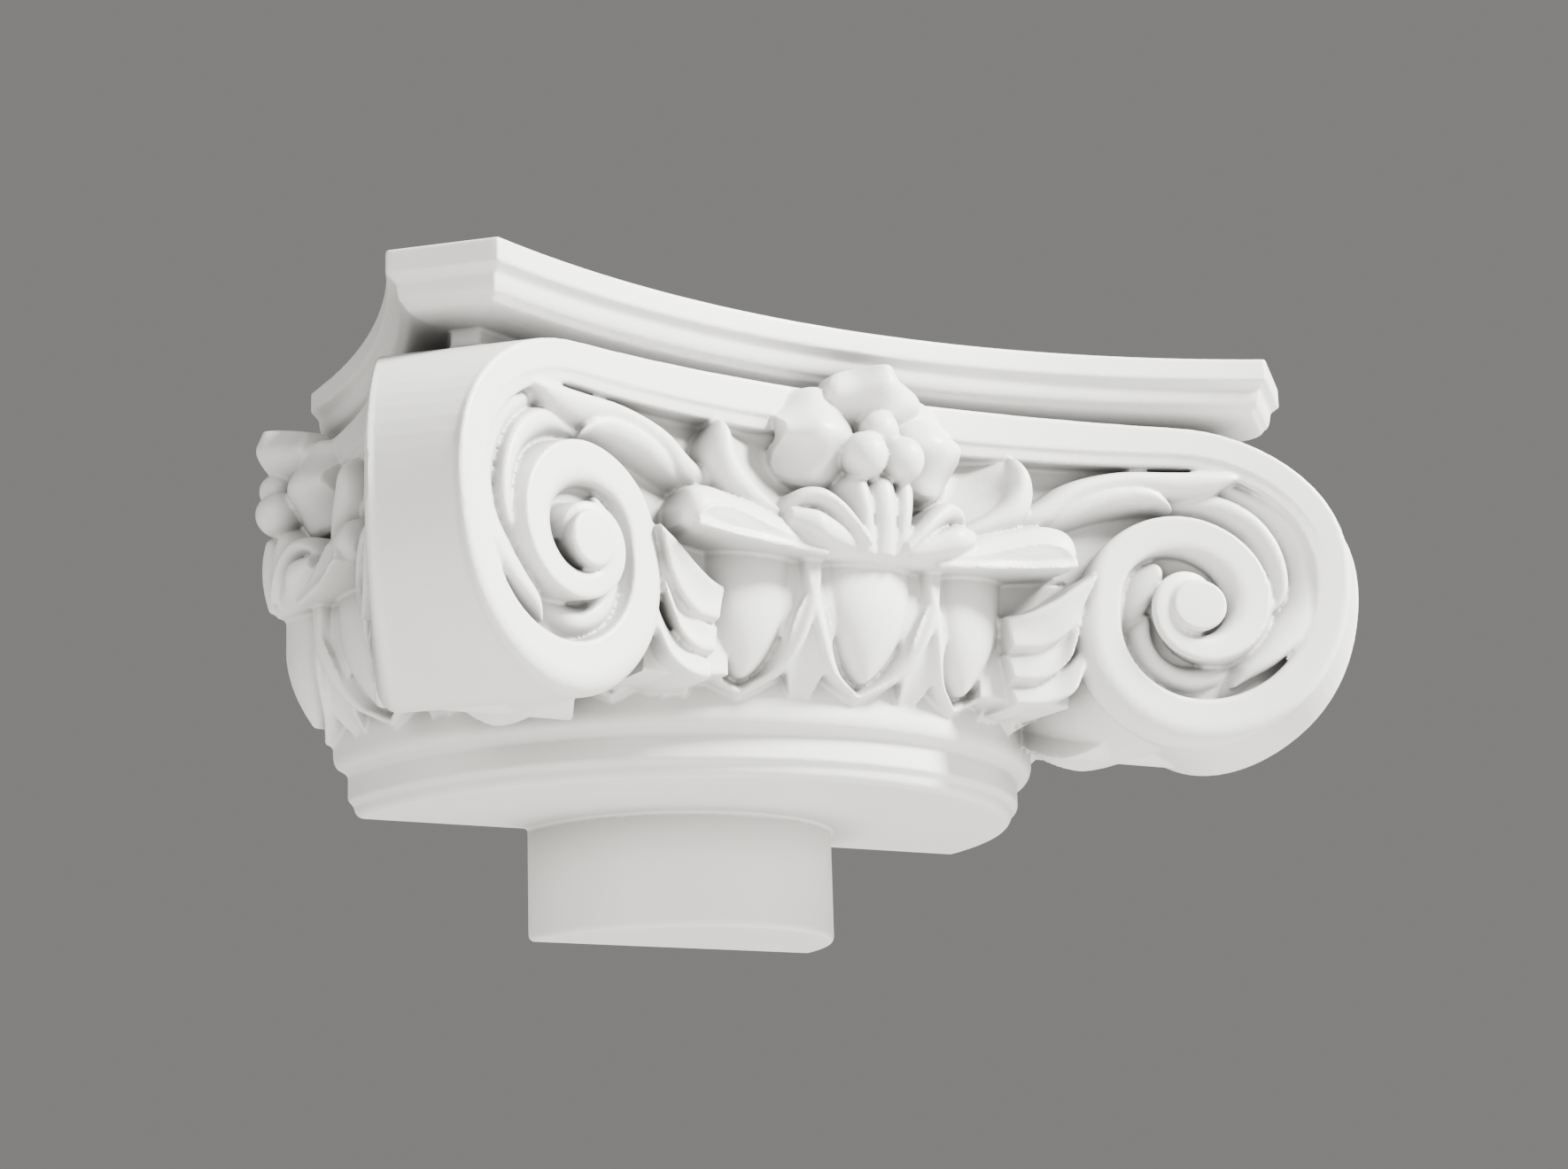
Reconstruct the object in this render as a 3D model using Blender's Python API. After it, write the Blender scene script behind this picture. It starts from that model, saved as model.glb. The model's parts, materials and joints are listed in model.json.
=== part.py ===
"""Half capital for a half column, cast in one piece.

A hollow-sided abacus over four-way scrolls, with leaves, a centre flower and
an egg row, on a round neck with a plug that goes into the top of the shaft.
The column's axis is x = y = 0, the wall plane is y = 0, the front looks along
-Y, and z = 0 is the seat where the neck stands on the shaft.
"""
import math

import bmesh
import bpy
from mathutils import Matrix, Vector

# Neck, plug and egg row, in metres
UPPER_DRUM_RADIUS = 0.1285       # the radii, the hollow sides and the corners all follow this one
LOWER_DRUM_STEP = 0.0054         # lower drum inside the upper one
SEAT_STEP = 0.0056               # seat inside the lower drum
EGG_BED_STEP = 0.0045            # round bed of the eggs outside the upper drum
LOWER_DRUM_RADIUS = UPPER_DRUM_RADIUS - LOWER_DRUM_STEP
SEAT_RADIUS = LOWER_DRUM_RADIUS - SEAT_STEP
EGG_BED_RADIUS = UPPER_DRUM_RADIUS + EGG_BED_STEP
FOOT_HEIGHT = 0.0037
FOOT_STEP = 0.0022
LOWER_DRUM_HEIGHT = 0.0104
DRUM_STEP = 0.0014
DRUM_ROUND = 0.0052              # height of the upper drum's rounded lower edge
DRUM_ROUND_INSET = 0.0031
PLUG_RADIUS = 0.0565
PLUG_LENGTH = 0.0392
PLUG_EDGE = 0.0020
EGG_PROUD = 0.0125               # eggs and rims above their bed
EGG_ROOT = 0.0200                # how far an egg goes back into the bed
RIM_ROOT = 0.0120                # the same for a rim, behind the upper drum
DART_ROOT = 0.0100
BED_INSET = 0.0010               # the carving's own bed lies this far inside the neck's
EGGS_AROUND = 20

# Abacus
BODY_OVERHANG = 0.0087           # middle of a hollow side outside the upper drum
HOLLOW_DEPTH = 0.0328            # how far the corners reach out past the middle of a side
CORNER_CUT = 0.0256              # how much is cut off a corner
ABACUS_HOLLOW = UPPER_DRUM_RADIUS + BODY_OVERHANG
ABACUS_REACH = ABACUS_HOLLOW + HOLLOW_DEPTH
CORNER_CUT_START = ABACUS_REACH - CORNER_CUT
FASCIA_HEIGHT = 0.0080
FASCIA_EDGE = 0.0006             # softened top edge
SLOPE_HEIGHT = 0.0022
SLOPE_INSET = 0.0030
OVOLO_HEIGHT = 0.0060
OVOLO_INSET = 0.0024
SOFFIT_HEIGHT = 0.0051
SOFFIT_INSET = 0.0140
THROAT_DEPTH = 0.0190            # how far the abacus root goes down into the body
LIP_GAP = 0.0017                 # air between the scroll lip and the abacus

# Body and scrolls
LIP_TOP = 0.1250                 # top of the scroll lip above the seat
FACE_FORWARD = 0.0005            # the lip stands this far out from the abacus hollow
FACE_RADIUS = 0.3060             # curve of the hollow front, seen from above
CHANNEL_DEPTH = 0.0100           # floor of the channel behind the band
SCROLL_FLOOR_DEPTH = 0.0105      # floor inside the scroll
CORE_GAP = 0.0005                # the core starts this far above the leaf shelf
CORE_TOP_DROP = 0.0060           # and ends this far below the top of the lip

# Finish
VOXEL = 0.0010
CARVING_FACES = 7600
WELD = 0.00003
WALL_MARGIN = 0.0080             # built past the wall plane, then cut flat

# Carving is laid out in shares of these two lengths
LIP_TOP_SHARE = 0.735
SHARE_ACROSS = ABACUS_REACH
SHARE_UP = LIP_TOP / LIP_TOP_SHARE

# Shares: underside of the leaf shelf, and how far eggs and rims go up behind it
SHELF_SHARE = 0.4057
SHELF_OVERLAP = 0.015
SHELF_HEIGHT = SHELF_SHARE * SHARE_UP

# Shares: scroll centre, then outer radius, band width, rise and rounded edges at each eighth of a turn
SCROLL_X = 0.660
SCROLL_Z = 0.345
SCROLL_RADII = (0.375, 0.354, 0.300, 0.283, 0.270, 0.235, 0.1985, 0.195, 0.191,
                0.170, 0.146, 0.124, 0.106, 0.088, 0.072, 0.062, 0.056)
BAND_WIDTHS = (0.098, 0.086, 0.070, 0.081, 0.096, 0.093, 0.078, 0.070, 0.082,
               0.078, 0.070, 0.060, 0.050, 0.038, 0.028, 0.020, 0.014)
BAND_RISES = (0, 0, 0, 0, 0, 0, 0, 0.003, 0.008, 0.015, 0.024, 0.032, 0.039, 0.045, 0.049, 0.052, 0.054)
OUTER_ROUNDS = (0.006, 0.012, 0.022, 0.030, 0.040, 0.042, 0.036, 0.014, 0.008,
                0.007, 0.007, 0.007, 0.007, 0.007, 0.006, 0.005, 0.004)
INNER_ROUNDS = (0.007, 0.008, 0.009, 0.010, 0.010, 0.010, 0.010, 0.014, 0.030,
                0.034, 0.030, 0.022, 0.016, 0.012, 0.010, 0.008, 0.005)
LIP_DROP = 0.017                 # the lip falls this much from the middle to the scroll
EYE_RADIUS = 0.056
EYE_RISE = 0.055
ROOT_DEPTH = 0.34                # the scroll's root goes this far back
ROOT_SET_BACK = 0.045            # and starts this far behind the face
ROOT_TOP_RADIUS = 0.195          # its outline at the top of the inner turn
CORE_REACH = 0.74                # half width of the core behind the channel
LIP_MIDDLE_REACH = 0.14
LIP_MIDDLE_DEPTH = 0.35

# Shares: eggs, the rims round them and the darts between
EGG_TIP = 0.150                  # lowest point of an egg
EGG_CENTRE = 0.380               # where it is widest
EGG_HALF_WIDTH = 0.100
EGG_TAPER = 0.12
EGG_ROUND = 0.030                # how far an egg's sides fall back
EGG_RISE = 0.19                  # height over which the row swells to its full depth
RIM_GAP = 0.012
RIM_WIDTH = 0.030
RIM_TIP = 0.126
RIM_RIDGE = 0.004
DART_LOW = 0.020
DART_LENGTH = 0.12
DART_HALF_WIDTH = 0.026
DART_DROP = 0.010


def share_point(x, z, out=0.0):
    """A point on the hollow front, from its shares across and up, out towards the viewer."""
    across = x * SHARE_ACROSS
    bow = FACE_RADIUS - math.sqrt(FACE_RADIUS ** 2 - across ** 2)
    y = -(ABACUS_HOLLOW + FACE_FORWARD + bow) - out * SHARE_ACROSS
    return Vector((across, y, z * SHARE_UP))


def across_corner(point):
    """The same point seen in the corner's diagonal mirror."""
    return Vector((-point.y, -point.x, point.z))


def smooth_at(values, t):
    """Catmull-Rom value of an evenly spaced list at t, counted in steps."""
    i = min(int(t), len(values) - 2)
    f = t - i
    before = values[max(i - 1, 0)]
    a = values[i]
    b = values[i + 1]
    after = values[min(i + 2, len(values) - 1)]
    return a + 0.5 * f * (b - before + f * (2 * before - 5 * a + 4 * b - after
                                            + f * (3 * (a - b) + after - before)))


def smooth_path(points, steps):
    """Evenly counted points along a smooth curve through the given ones."""
    columns = list(zip(*points))
    last = len(points) - 1
    return [tuple(smooth_at(column, last * i / steps) for column in columns) for i in range(steps + 1)]


def loft(mesh, rings, matrix=Matrix()):
    """A closed body through rings of equal count, with flat ends."""
    rows = [[mesh.verts.new(matrix @ p) for p in ring] for ring in rings]
    count = len(rows[0])
    faces = []
    for low, high in zip(rows, rows[1:]):
        for i in range(count):
            j = (i + 1) % count
            faces.append(mesh.faces.new((low[i], low[j], high[j], high[i])))
    faces.append(mesh.faces.new(list(reversed(rows[0]))))
    faces.append(mesh.faces.new(rows[-1]))
    bmesh.ops.recalc_face_normals(mesh, faces=faces)


def turned_ring(radius, z, steps):
    angles = [2 * math.pi * i / steps for i in range(steps)]
    return [Vector((radius * math.cos(a), radius * math.sin(a), z)) for a in angles]


def make_object(name, mesh):
    data = bpy.data.meshes.new(name)
    mesh.to_mesh(data)
    mesh.free()
    made = bpy.data.objects.new(name, data)
    bpy.context.scene.collection.objects.link(made)
    return made


def apply_modifiers(made):
    """Turns the evaluated mesh into the object's own mesh."""
    graph = bpy.context.evaluated_depsgraph_get()
    data = bpy.data.meshes.new_from_object(made.evaluated_get(graph))
    made.modifiers.clear()
    made.data = data


def placements():
    """Where the right half of the front goes: front right, front left, right side, left side."""
    mirror = Matrix.Scale(-1, 4, (1, 0, 0))
    quarter = math.pi / 2
    return (Matrix(), mirror, Matrix.Rotation(quarter, 4, "Z") @ mirror, Matrix.Rotation(-quarter, 4, "Z"))


def abacus_outline(inset, z, steps=14):
    """Plan of the abacus: four hollow sides and four cut corners, moved in by the inset."""
    bow = ABACUS_REACH - ABACUS_HOLLOW
    radius = (CORNER_CUT_START ** 2 + bow ** 2) / (2 * bow)
    centre = ABACUS_HOLLOW + radius
    corner_line = ABACUS_REACH + CORNER_CUT_START - inset * math.sqrt(2)
    reach = radius + inset
    c = centre - corner_line
    end = (math.sqrt(2 * reach ** 2 - c ** 2) - c) / 2
    side = []
    for i in range(steps + 1):
        x = end * (2 * i / steps - 1)
        side.append(Vector((x, math.sqrt(reach ** 2 - x ** 2) - centre, z)))
    ring = []
    for quarter in range(4):
        turn = Matrix.Rotation(quarter * math.pi / 2, 3, "Z")
        ring += [turn @ p for p in side]
    return ring


def make_abacus():
    mesh = bmesh.new()
    soffit = LIP_TOP + LIP_GAP
    ovolo = soffit + SOFFIT_HEIGHT
    slope = ovolo + OVOLO_HEIGHT
    fascia = slope + SLOPE_HEIGHT
    top = fascia + FASCIA_HEIGHT
    under = SLOPE_INSET + OVOLO_INSET
    levels = [(under + SOFFIT_INSET, soffit - THROAT_DEPTH), (under + SOFFIT_INSET, soffit)]
    for i in (1, 2):
        angle = math.pi / 2 * i / 3
        levels.append((under + SOFFIT_INSET * (1 - math.sin(angle)), soffit + SOFFIT_HEIGHT * (1 - math.cos(angle))))
    for i in (0, 1, 2, 3):
        angle = math.pi / 2 * i / 3
        levels.append((SLOPE_INSET + OVOLO_INSET * (1 - math.sin(angle)), ovolo + OVOLO_HEIGHT * (1 - math.cos(angle))))
    levels += [(FASCIA_EDGE, fascia), (0.0, fascia + FASCIA_EDGE)]
    levels += [(0.0, top - FASCIA_EDGE), (FASCIA_EDGE, top)]
    loft(mesh, [abacus_outline(inset, z) for inset, z in levels])
    return make_object("abacus_blank", mesh)


def make_neck():
    """Plug, seat, two drums and the bed of the egg row, turned about the column's axis."""
    lower_top = FOOT_HEIGHT + LOWER_DRUM_HEIGHT
    upper_start = lower_top + DRUM_STEP
    shoulder = LOWER_DRUM_RADIUS - FOOT_STEP
    profile = [(PLUG_RADIUS - PLUG_EDGE, -PLUG_LENGTH), (PLUG_RADIUS, PLUG_EDGE - PLUG_LENGTH), (PLUG_RADIUS, 0.0)]
    for i in range(4):
        angle = math.pi / 2 * i / 3
        profile.append((SEAT_RADIUS + (shoulder - SEAT_RADIUS) * math.sin(angle), FOOT_HEIGHT * (1 - math.cos(angle))))
    profile += [(LOWER_DRUM_RADIUS, FOOT_HEIGHT + FOOT_STEP), (LOWER_DRUM_RADIUS, lower_top)]
    for i in range(4):
        angle = math.pi / 2 * i / 3
        profile.append((UPPER_DRUM_RADIUS - DRUM_ROUND_INSET * (1 - math.sin(angle)),
                        upper_start + DRUM_ROUND * (1 - math.cos(angle))))
    profile += [(UPPER_DRUM_RADIUS, EGG_TIP * SHARE_UP), (EGG_BED_RADIUS, SHELF_HEIGHT),
                (EGG_BED_RADIUS, SHELF_HEIGHT + CHANNEL_DEPTH)]
    mesh = bmesh.new()
    loft(mesh, [turned_ring(radius, z, 72) for radius, z in profile])
    return make_object("neck_blank", mesh)


def egg_surface(z):
    """Radius of the egg row's rounded front at a share z up."""
    rise = min(max((z - RIM_TIP) / EGG_RISE, 0.0), 1.0)
    foot = UPPER_DRUM_RADIUS
    return foot + (EGG_BED_RADIUS + EGG_PROUD - foot) * math.sin(math.pi / 2 * rise) ** 0.8


def egg_width(z):
    drop = max(EGG_CENTRE - z, 0.0) / (EGG_CENTRE - EGG_TIP)
    return EGG_HALF_WIDTH * math.sqrt(max(1.0 - drop ** 2, 0.0)) * (1.0 - EGG_TAPER * drop)


def around(radius, sideways, z):
    """A point of the egg row: radius, sideways distance in shares, height in shares."""
    angle = sideways * SHARE_ACROSS / (EGG_BED_RADIUS + EGG_PROUD)
    return Vector((radius * math.sin(angle), -radius * math.cos(angle), z * SHARE_UP))


def add_egg(mesh, matrix):
    shelf = SHELF_SHARE + SHELF_OVERLAP
    rings = []
    for i in range(8):
        z = EGG_TIP + 0.002 + (shelf - EGG_TIP) * (i / 7) ** 1.5
        half = max(egg_width(z), 0.004)
        front = egg_surface(z)
        ring = []
        for j in range(7):
            u = j / 3 - 1
            dip = EGG_ROUND * (1 - math.sqrt(max(1 - u * u, 0.0))) * SHARE_ACROSS
            ring.append(around(front - dip, u * half, z))
        back = EGG_BED_RADIUS - EGG_ROOT
        ring += [around(back, half * 0.8, z), around(back, -half * 0.8, z)]
        rings.append(ring)
    loft(mesh, rings, matrix)


def add_rim(mesh, matrix):
    """The shell round an egg: down one side, round the point and up the other."""
    shelf = SHELF_SHARE + SHELF_OVERLAP
    side = []
    for i in range(7):
        z = shelf - (shelf - EGG_TIP) * (i / 6) ** 0.75
        side.append((egg_width(z) + RIM_GAP, z, egg_width(z) + RIM_GAP + RIM_WIDTH, z))
    side.append((0.0, EGG_TIP - RIM_GAP, 0.0, RIM_TIP))
    path = [(-a, b, -c, d) for a, b, c, d in side] + [(a, b, c, d) for a, b, c, d in reversed(side[:-1])]
    rings = []
    for inner_x, inner_z, outer_x, outer_z in path:
        front = RIM_RIDGE * SHARE_ACROSS
        middle_x = (inner_x + outer_x) / 2
        middle_z = (inner_z + outer_z) / 2
        back = UPPER_DRUM_RADIUS - RIM_ROOT
        rings.append([around(back, inner_x, inner_z), around(egg_surface(inner_z) - front, inner_x, inner_z),
                      around(egg_surface(middle_z) + front, middle_x, middle_z),
                      around(egg_surface(outer_z) - front, outer_x, outer_z), around(back, outer_x, outer_z)])
    loft(mesh, rings, matrix)


def add_dart(mesh, matrix):
    """The small pointed leaf between two rims."""
    half_step = math.pi / EGGS_AROUND * (EGG_BED_RADIUS + EGG_PROUD) / SHARE_ACROSS
    back = UPPER_DRUM_RADIUS - DART_ROOT
    rings = []
    for i in range(6):
        t = i / 5
        z = RIM_TIP + DART_LOW + DART_LENGTH * t
        half = 0.004 + DART_HALF_WIDTH * math.sin(math.pi / 2 * min(t * 1.4, 1.0)) * (1 - t / 2)
        radius = egg_surface(z) - DART_DROP * SHARE_ACROSS
        rings.append([around(back, half_step - half, z), around(radius - 0.002, half_step - half, z),
                      around(radius, half_step, z), around(radius - 0.002, half_step + half, z),
                      around(back, half_step + half, z)])
    loft(mesh, rings, matrix)


def band_stations(steps_per_eighth=3, lip_steps=6):
    """Outer point, inner point, rise and eighth along the band, from the middle of the lip to the eye."""
    stations = []
    start_radius = SCROLL_RADII[0]
    lip_end = SCROLL_Z + start_radius
    for i in range(lip_steps):
        t = i / lip_steps
        top = lip_end + LIP_DROP * (1 - t ** 2)
        low = SCROLL_Z + start_radius - BAND_WIDTHS[0]
        stations.append(((SCROLL_X * t, top), (SCROLL_X * t, low), 0.0, 0.0))
    last = (len(SCROLL_RADII) - 1) * steps_per_eighth
    for i in range(last + 1):
        t = i / steps_per_eighth
        angle = math.pi / 4 * t
        radius = smooth_at(SCROLL_RADII, t)
        inner = radius - smooth_at(BAND_WIDTHS, t)
        direction = (math.sin(angle), math.cos(angle))
        outer_point = (SCROLL_X + radius * direction[0], SCROLL_Z + radius * direction[1])
        inner_point = (SCROLL_X + inner * direction[0], SCROLL_Z + inner * direction[1])
        stations.append((outer_point, inner_point, smooth_at(BAND_RISES, t), t))
    return stations


def band_section(width, t, steps=3):
    """Distances across the band and their drops: rounded outer edge, flat face, rounded inner edge."""
    outer = min(smooth_at(OUTER_ROUNDS, t), width * 0.55)
    inner = min(smooth_at(INNER_ROUNDS, t), width * 0.40)
    quarter = [math.pi / 2 * i / steps for i in range(steps + 1)]
    section = [(outer * (1 - math.cos(angle)), outer * (1 - math.sin(angle))) for angle in quarter]
    section += [(width - inner * (1 - math.cos(angle)), inner * (1 - math.sin(angle))) for angle in reversed(quarter)]
    return section


def root_radius(t):
    """Outline of the scroll's root: the outer turn below, drawn in to the inner turn above."""
    low = len(SCROLL_RADII) // 4
    if t >= low:
        return smooth_at(SCROLL_RADII, t)
    return ROOT_TOP_RADIUS + (SCROLL_RADII[low] - ROOT_TOP_RADIUS) * t / low


def add_scroll(mesh, matrix):
    """The band from the lip to the eye, carried across the corner to the next side, on a solid root."""
    rings = []
    for outer, inner, rise, t in band_stations():
        width = math.hypot(outer[0] - inner[0], outer[1] - inner[1])
        front = []
        for across, drop in band_section(width, t):
            x = outer[0] + (inner[0] - outer[0]) * across / width
            z = outer[1] + (inner[1] - outer[1]) * across / width
            front.append(share_point(x, z, rise - drop))
        rings.append(front + [across_corner(p) for p in reversed(front)])
    loft(mesh, rings, matrix)
    floor = []
    root = []
    for i in range(24):
        t = i / 3
        angle = math.pi / 4 * t
        direction = (math.sin(angle), math.cos(angle))
        radius = smooth_at(SCROLL_RADII, t) - smooth_at(BAND_WIDTHS, t) / 2
        floor.append(share_point(SCROLL_X + radius * direction[0], SCROLL_Z + radius * direction[1],
                                 -SCROLL_FLOOR_DEPTH / SHARE_ACROSS))
        radius = root_radius(t)
        root.append(share_point(SCROLL_X + radius * direction[0], SCROLL_Z + radius * direction[1], -ROOT_SET_BACK))
    loft(mesh, [floor, [across_corner(p) for p in floor]], matrix)
    back = Vector((0, ROOT_DEPTH * SHARE_ACROSS, 0))
    loft(mesh, [root, [p + back for p in root]], matrix)
    loft(mesh, [[across_corner(p) for p in root], [across_corner(p + back) for p in root]], matrix)
    eye_low = []
    eye_high = []
    for i in range(16):
        angle = math.pi / 8 * i
        x = SCROLL_X + EYE_RADIUS * math.cos(angle)
        z = SCROLL_Z + EYE_RADIUS * math.sin(angle)
        eye_low.append(share_point(x, z, -SCROLL_FLOOR_DEPTH / SHARE_ACROSS))
        eye_high.append(share_point(x, z, EYE_RISE))
    loft(mesh, [eye_low, eye_high], matrix)


def add_body(mesh):
    """The core behind the channel: four hollow sides joined across the corners."""
    side = []
    for i in range(17):
        x = CORE_REACH * (i / 8 - 1)
        side.append(share_point(x, 0.0, -CHANNEL_DEPTH / SHARE_ACROSS).to_2d())
    ring = []
    for quarter in range(4):
        turn = Matrix.Rotation(quarter * math.pi / 2, 2)
        ring += [turn @ p for p in side]
    low = SHELF_HEIGHT + CORE_GAP
    high = LIP_TOP - CORE_TOP_DROP
    loft(mesh, [[Vector((p.x, p.y, z)) for p in ring] for z in (low, high)])


def add_lip_middle(mesh, matrix):
    """A short stretch of lip behind the flower that joins the two halves."""
    ring_list = []
    for i in range(5):
        x = LIP_MIDDLE_REACH * (i / 2 - 1)
        top = SCROLL_Z + SCROLL_RADII[0] + LIP_DROP - 0.001
        low = SCROLL_Z + SCROLL_RADII[0] - BAND_WIDTHS[0] + 0.001
        front_top = share_point(x, top, -0.002)
        front_low = share_point(x, low, -0.002)
        inward = Vector((0, LIP_MIDDLE_DEPTH * SHARE_ACROSS, 0))
        ring_list.append([front_top, front_low, front_low + inward, front_top + inward])
    loft(mesh, ring_list, matrix)


def add_leaf(mesh, matrix, points, crown, base, depth, steps=7):
    """A leaf along a path of (x, z, half width), with a rounded back and a buried root."""
    path = smooth_path(points, steps)
    rings = []
    for i, (x, z, half) in enumerate(path):
        ahead = path[min(i + 1, steps)]
        behind = path[max(i - 1, 0)]
        along = Vector((ahead[0] - behind[0], ahead[1] - behind[1])).normalized()
        side = Vector((-along.y, along.x)) * max(half, 0.003)
        ring = []
        for u, lift in ((-1.0, 0.0), (-0.55, 0.75), (0.0, 1.0), (0.55, 0.75), (1.0, 0.0)):
            ring.append(share_point(x + side.x * u, z + side.y * u, base + crown * lift))
        ring.append(share_point(x + side.x * 0.7, z + side.y * 0.7, base - depth))
        ring.append(share_point(x - side.x * 0.7, z - side.y * 0.7, base - depth))
        rings.append(ring)
    loft(mesh, rings, matrix)


def add_ball(mesh, matrix, x, z, out, across, up, proud, steps=8):
    """A rounded form: petal, bud or lobe."""
    rings = []
    for i in range(1, steps):
        polar = math.pi * i / steps
        ring = []
        for j in range(steps):
            turn = 2 * math.pi * j / steps
            dx = across * math.sin(polar) * math.cos(turn)
            dz = up * math.sin(polar) * math.sin(turn)
            ring.append(share_point(x + dx, z + dz, out - proud * math.cos(polar)))
        rings.append(ring)
    loft(mesh, rings, matrix)


# Leaves of one half front: path of (x, z, half width), crown, base, depth
LEAVES = (
    # long husk leaf on the shelf
    (((0.02, 0.428, 0.022), (0.14, 0.440, 0.034), (0.26, 0.456, 0.042), (0.36, 0.462, 0.044), (0.435, 0.430, 0.020)),
     0.030, 0.000, 0.10),
    # sepal beside the flower
    (((0.13, 0.465, 0.020), (0.22, 0.490, 0.030), (0.30, 0.540, 0.034), (0.335, 0.600, 0.024), (0.318, 0.650, 0.005)),
     0.022, -0.012, 0.06),
    # long leaf under the lip
    (((0.20, 0.460, 0.020), (0.33, 0.530, 0.036), (0.45, 0.590, 0.034), (0.60, 0.612, 0.030), (0.72, 0.612, 0.024),
      (0.785, 0.622, 0.006)), 0.022, -0.020, 0.05),
    # second lobe over the scroll
    (((0.34, 0.500, 0.030), (0.44, 0.548, 0.034), (0.54, 0.572, 0.030), (0.625, 0.565, 0.022), (0.655, 0.540, 0.006)),
     0.018, -0.022, 0.05),
    # leaves that follow the channel round the scroll
    (((0.64, 0.565, 0.020), (0.75, 0.535, 0.028), (0.82, 0.455, 0.028), (0.840, 0.375, 0.022), (0.805, 0.325, 0.006)),
     0.016, -0.026, 0.04),
    (((0.76, 0.590, 0.014), (0.845, 0.510, 0.020), (0.872, 0.400, 0.022), (0.850, 0.290, 0.026), (0.760, 0.195, 0.008)),
     0.016, -0.028, 0.04),
    (((0.745, 0.225, 0.020), (0.680, 0.200, 0.026), (0.610, 0.222, 0.026), (0.570, 0.275, 0.024), (0.590, 0.335, 0.006)),
     0.018, -0.024, 0.04),
    (((0.560, 0.300, 0.010), (0.558, 0.360, 0.020), (0.585, 0.410, 0.022), (0.630, 0.440, 0.006)),
     0.016, -0.014, 0.05),
    # fingers between the last egg and the scroll
    (((0.470, 0.400, 0.030), (0.430, 0.345, 0.045), (0.360, 0.300, 0.046), (0.300, 0.290, 0.030)),
     0.030, -0.020, 0.12),
    (((0.475, 0.310, 0.024), (0.430, 0.250, 0.036), (0.370, 0.220, 0.036), (0.300, 0.222, 0.020)),
     0.026, -0.026, 0.12),
    (((0.480, 0.230, 0.018), (0.440, 0.185, 0.026), (0.380, 0.162, 0.026), (0.320, 0.165, 0.012)),
     0.024, -0.034, 0.12),
    # curled leaf at the foot of the flower
    (((0.050, 0.445, 0.014), (0.105, 0.480, 0.022), (0.160, 0.500, 0.024), (0.195, 0.470, 0.012)),
     0.030, 0.030, 0.08),
)

# Rounded forms of one half of the flower: x, z, out, then half sizes across, up and outwards
PETALS = (
    (0.055, 0.700, 0.050, 0.062, 0.076, 0.042),
    (0.000, 0.715, 0.050, 0.060, 0.070, 0.046),
    (0.130, 0.640, 0.040, 0.070, 0.085, 0.040),
    (0.125, 0.575, 0.030, 0.050, 0.050, 0.036),
    (0.036, 0.590, 0.090, 0.044, 0.046, 0.046),
    (0.000, 0.636, 0.088, 0.042, 0.046, 0.042),
)
# Ribs of the flower's cup, as leaves
CUP_RIBS = (
    (((0.018, 0.425, 0.018), (0.022, 0.480, 0.024), (0.024, 0.540, 0.024), (0.024, 0.575, 0.010)), 0.030, 0.095, 0.12),
    (((0.034, 0.425, 0.014), (0.054, 0.480, 0.020), (0.062, 0.530, 0.020), (0.064, 0.560, 0.008)), 0.024, 0.075, 0.12),
)


def make_carving():
    """Everything carved, fused into one closed skin and thinned."""
    mesh = bmesh.new()
    for matrix in placements():
        for points, crown, base, depth in LEAVES + CUP_RIBS:
            add_leaf(mesh, matrix, points, crown, base, depth)
        for petal in PETALS:
            add_ball(mesh, matrix, *petal)
    corner_turn = Matrix.Scale(-1, 4, (1, 0, 0))
    for matrix in (Matrix(), corner_turn):
        add_scroll(mesh, matrix)
    add_body(mesh)
    for quarter in (-1, 0, 1):
        add_lip_middle(mesh, Matrix.Rotation(quarter * math.pi / 2, 4, "Z"))
    bed = EGG_BED_RADIUS - BED_INSET
    loft(mesh, [turned_ring(bed, z, 72) for z in (RIM_TIP * SHARE_UP, SHELF_HEIGHT + CHANNEL_DEPTH)])
    step = 2 * math.pi / EGGS_AROUND
    reach = EGGS_AROUND // 4 + 1
    for i in range(-reach, reach + 1):
        matrix = Matrix.Rotation(i * step, 4, "Z")
        add_egg(mesh, matrix)
        add_rim(mesh, matrix)
        add_dart(mesh, matrix)
    carving = make_object("carving_blank", mesh)
    fuse = carving.modifiers.new("fuse", "REMESH")
    fuse.mode = "VOXEL"
    fuse.voxel_size = VOXEL
    apply_modifiers(carving)
    part_touching_skins(carving)
    cut_flat(carving, WALL_MARGIN)
    thin = carving.modifiers.new("thin", "DECIMATE")
    thin.use_collapse_triangulate = True
    thin.ratio = CARVING_FACES / sum(len(face.vertices) - 2 for face in carving.data.polygons)
    apply_modifiers(carving)
    part_touching_skins(carving)
    return carving


def part_touching_skins(made):
    """Opens the skin where two stretches of it share an edge, and closes each side for itself."""
    mesh = bmesh.new()
    mesh.from_mesh(made.data)
    shared = [edge for edge in mesh.edges if len(edge.link_faces) > 2]
    while shared:
        faces = {face for edge in shared for vert in edge.verts for face in vert.link_faces}
        bmesh.ops.delete(mesh, geom=list(faces), context="FACES")
        rim = [edge for edge in mesh.edges if edge.is_boundary]
        filled = bmesh.ops.holes_fill(mesh, edges=rim, sides=0)
        bmesh.ops.triangulate(mesh, faces=filled["faces"])
        shared = [edge for edge in mesh.edges if len(edge.link_faces) > 2]
    bmesh.ops.recalc_face_normals(mesh, faces=mesh.faces[:])
    mesh.to_mesh(made.data)
    mesh.free()


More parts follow.
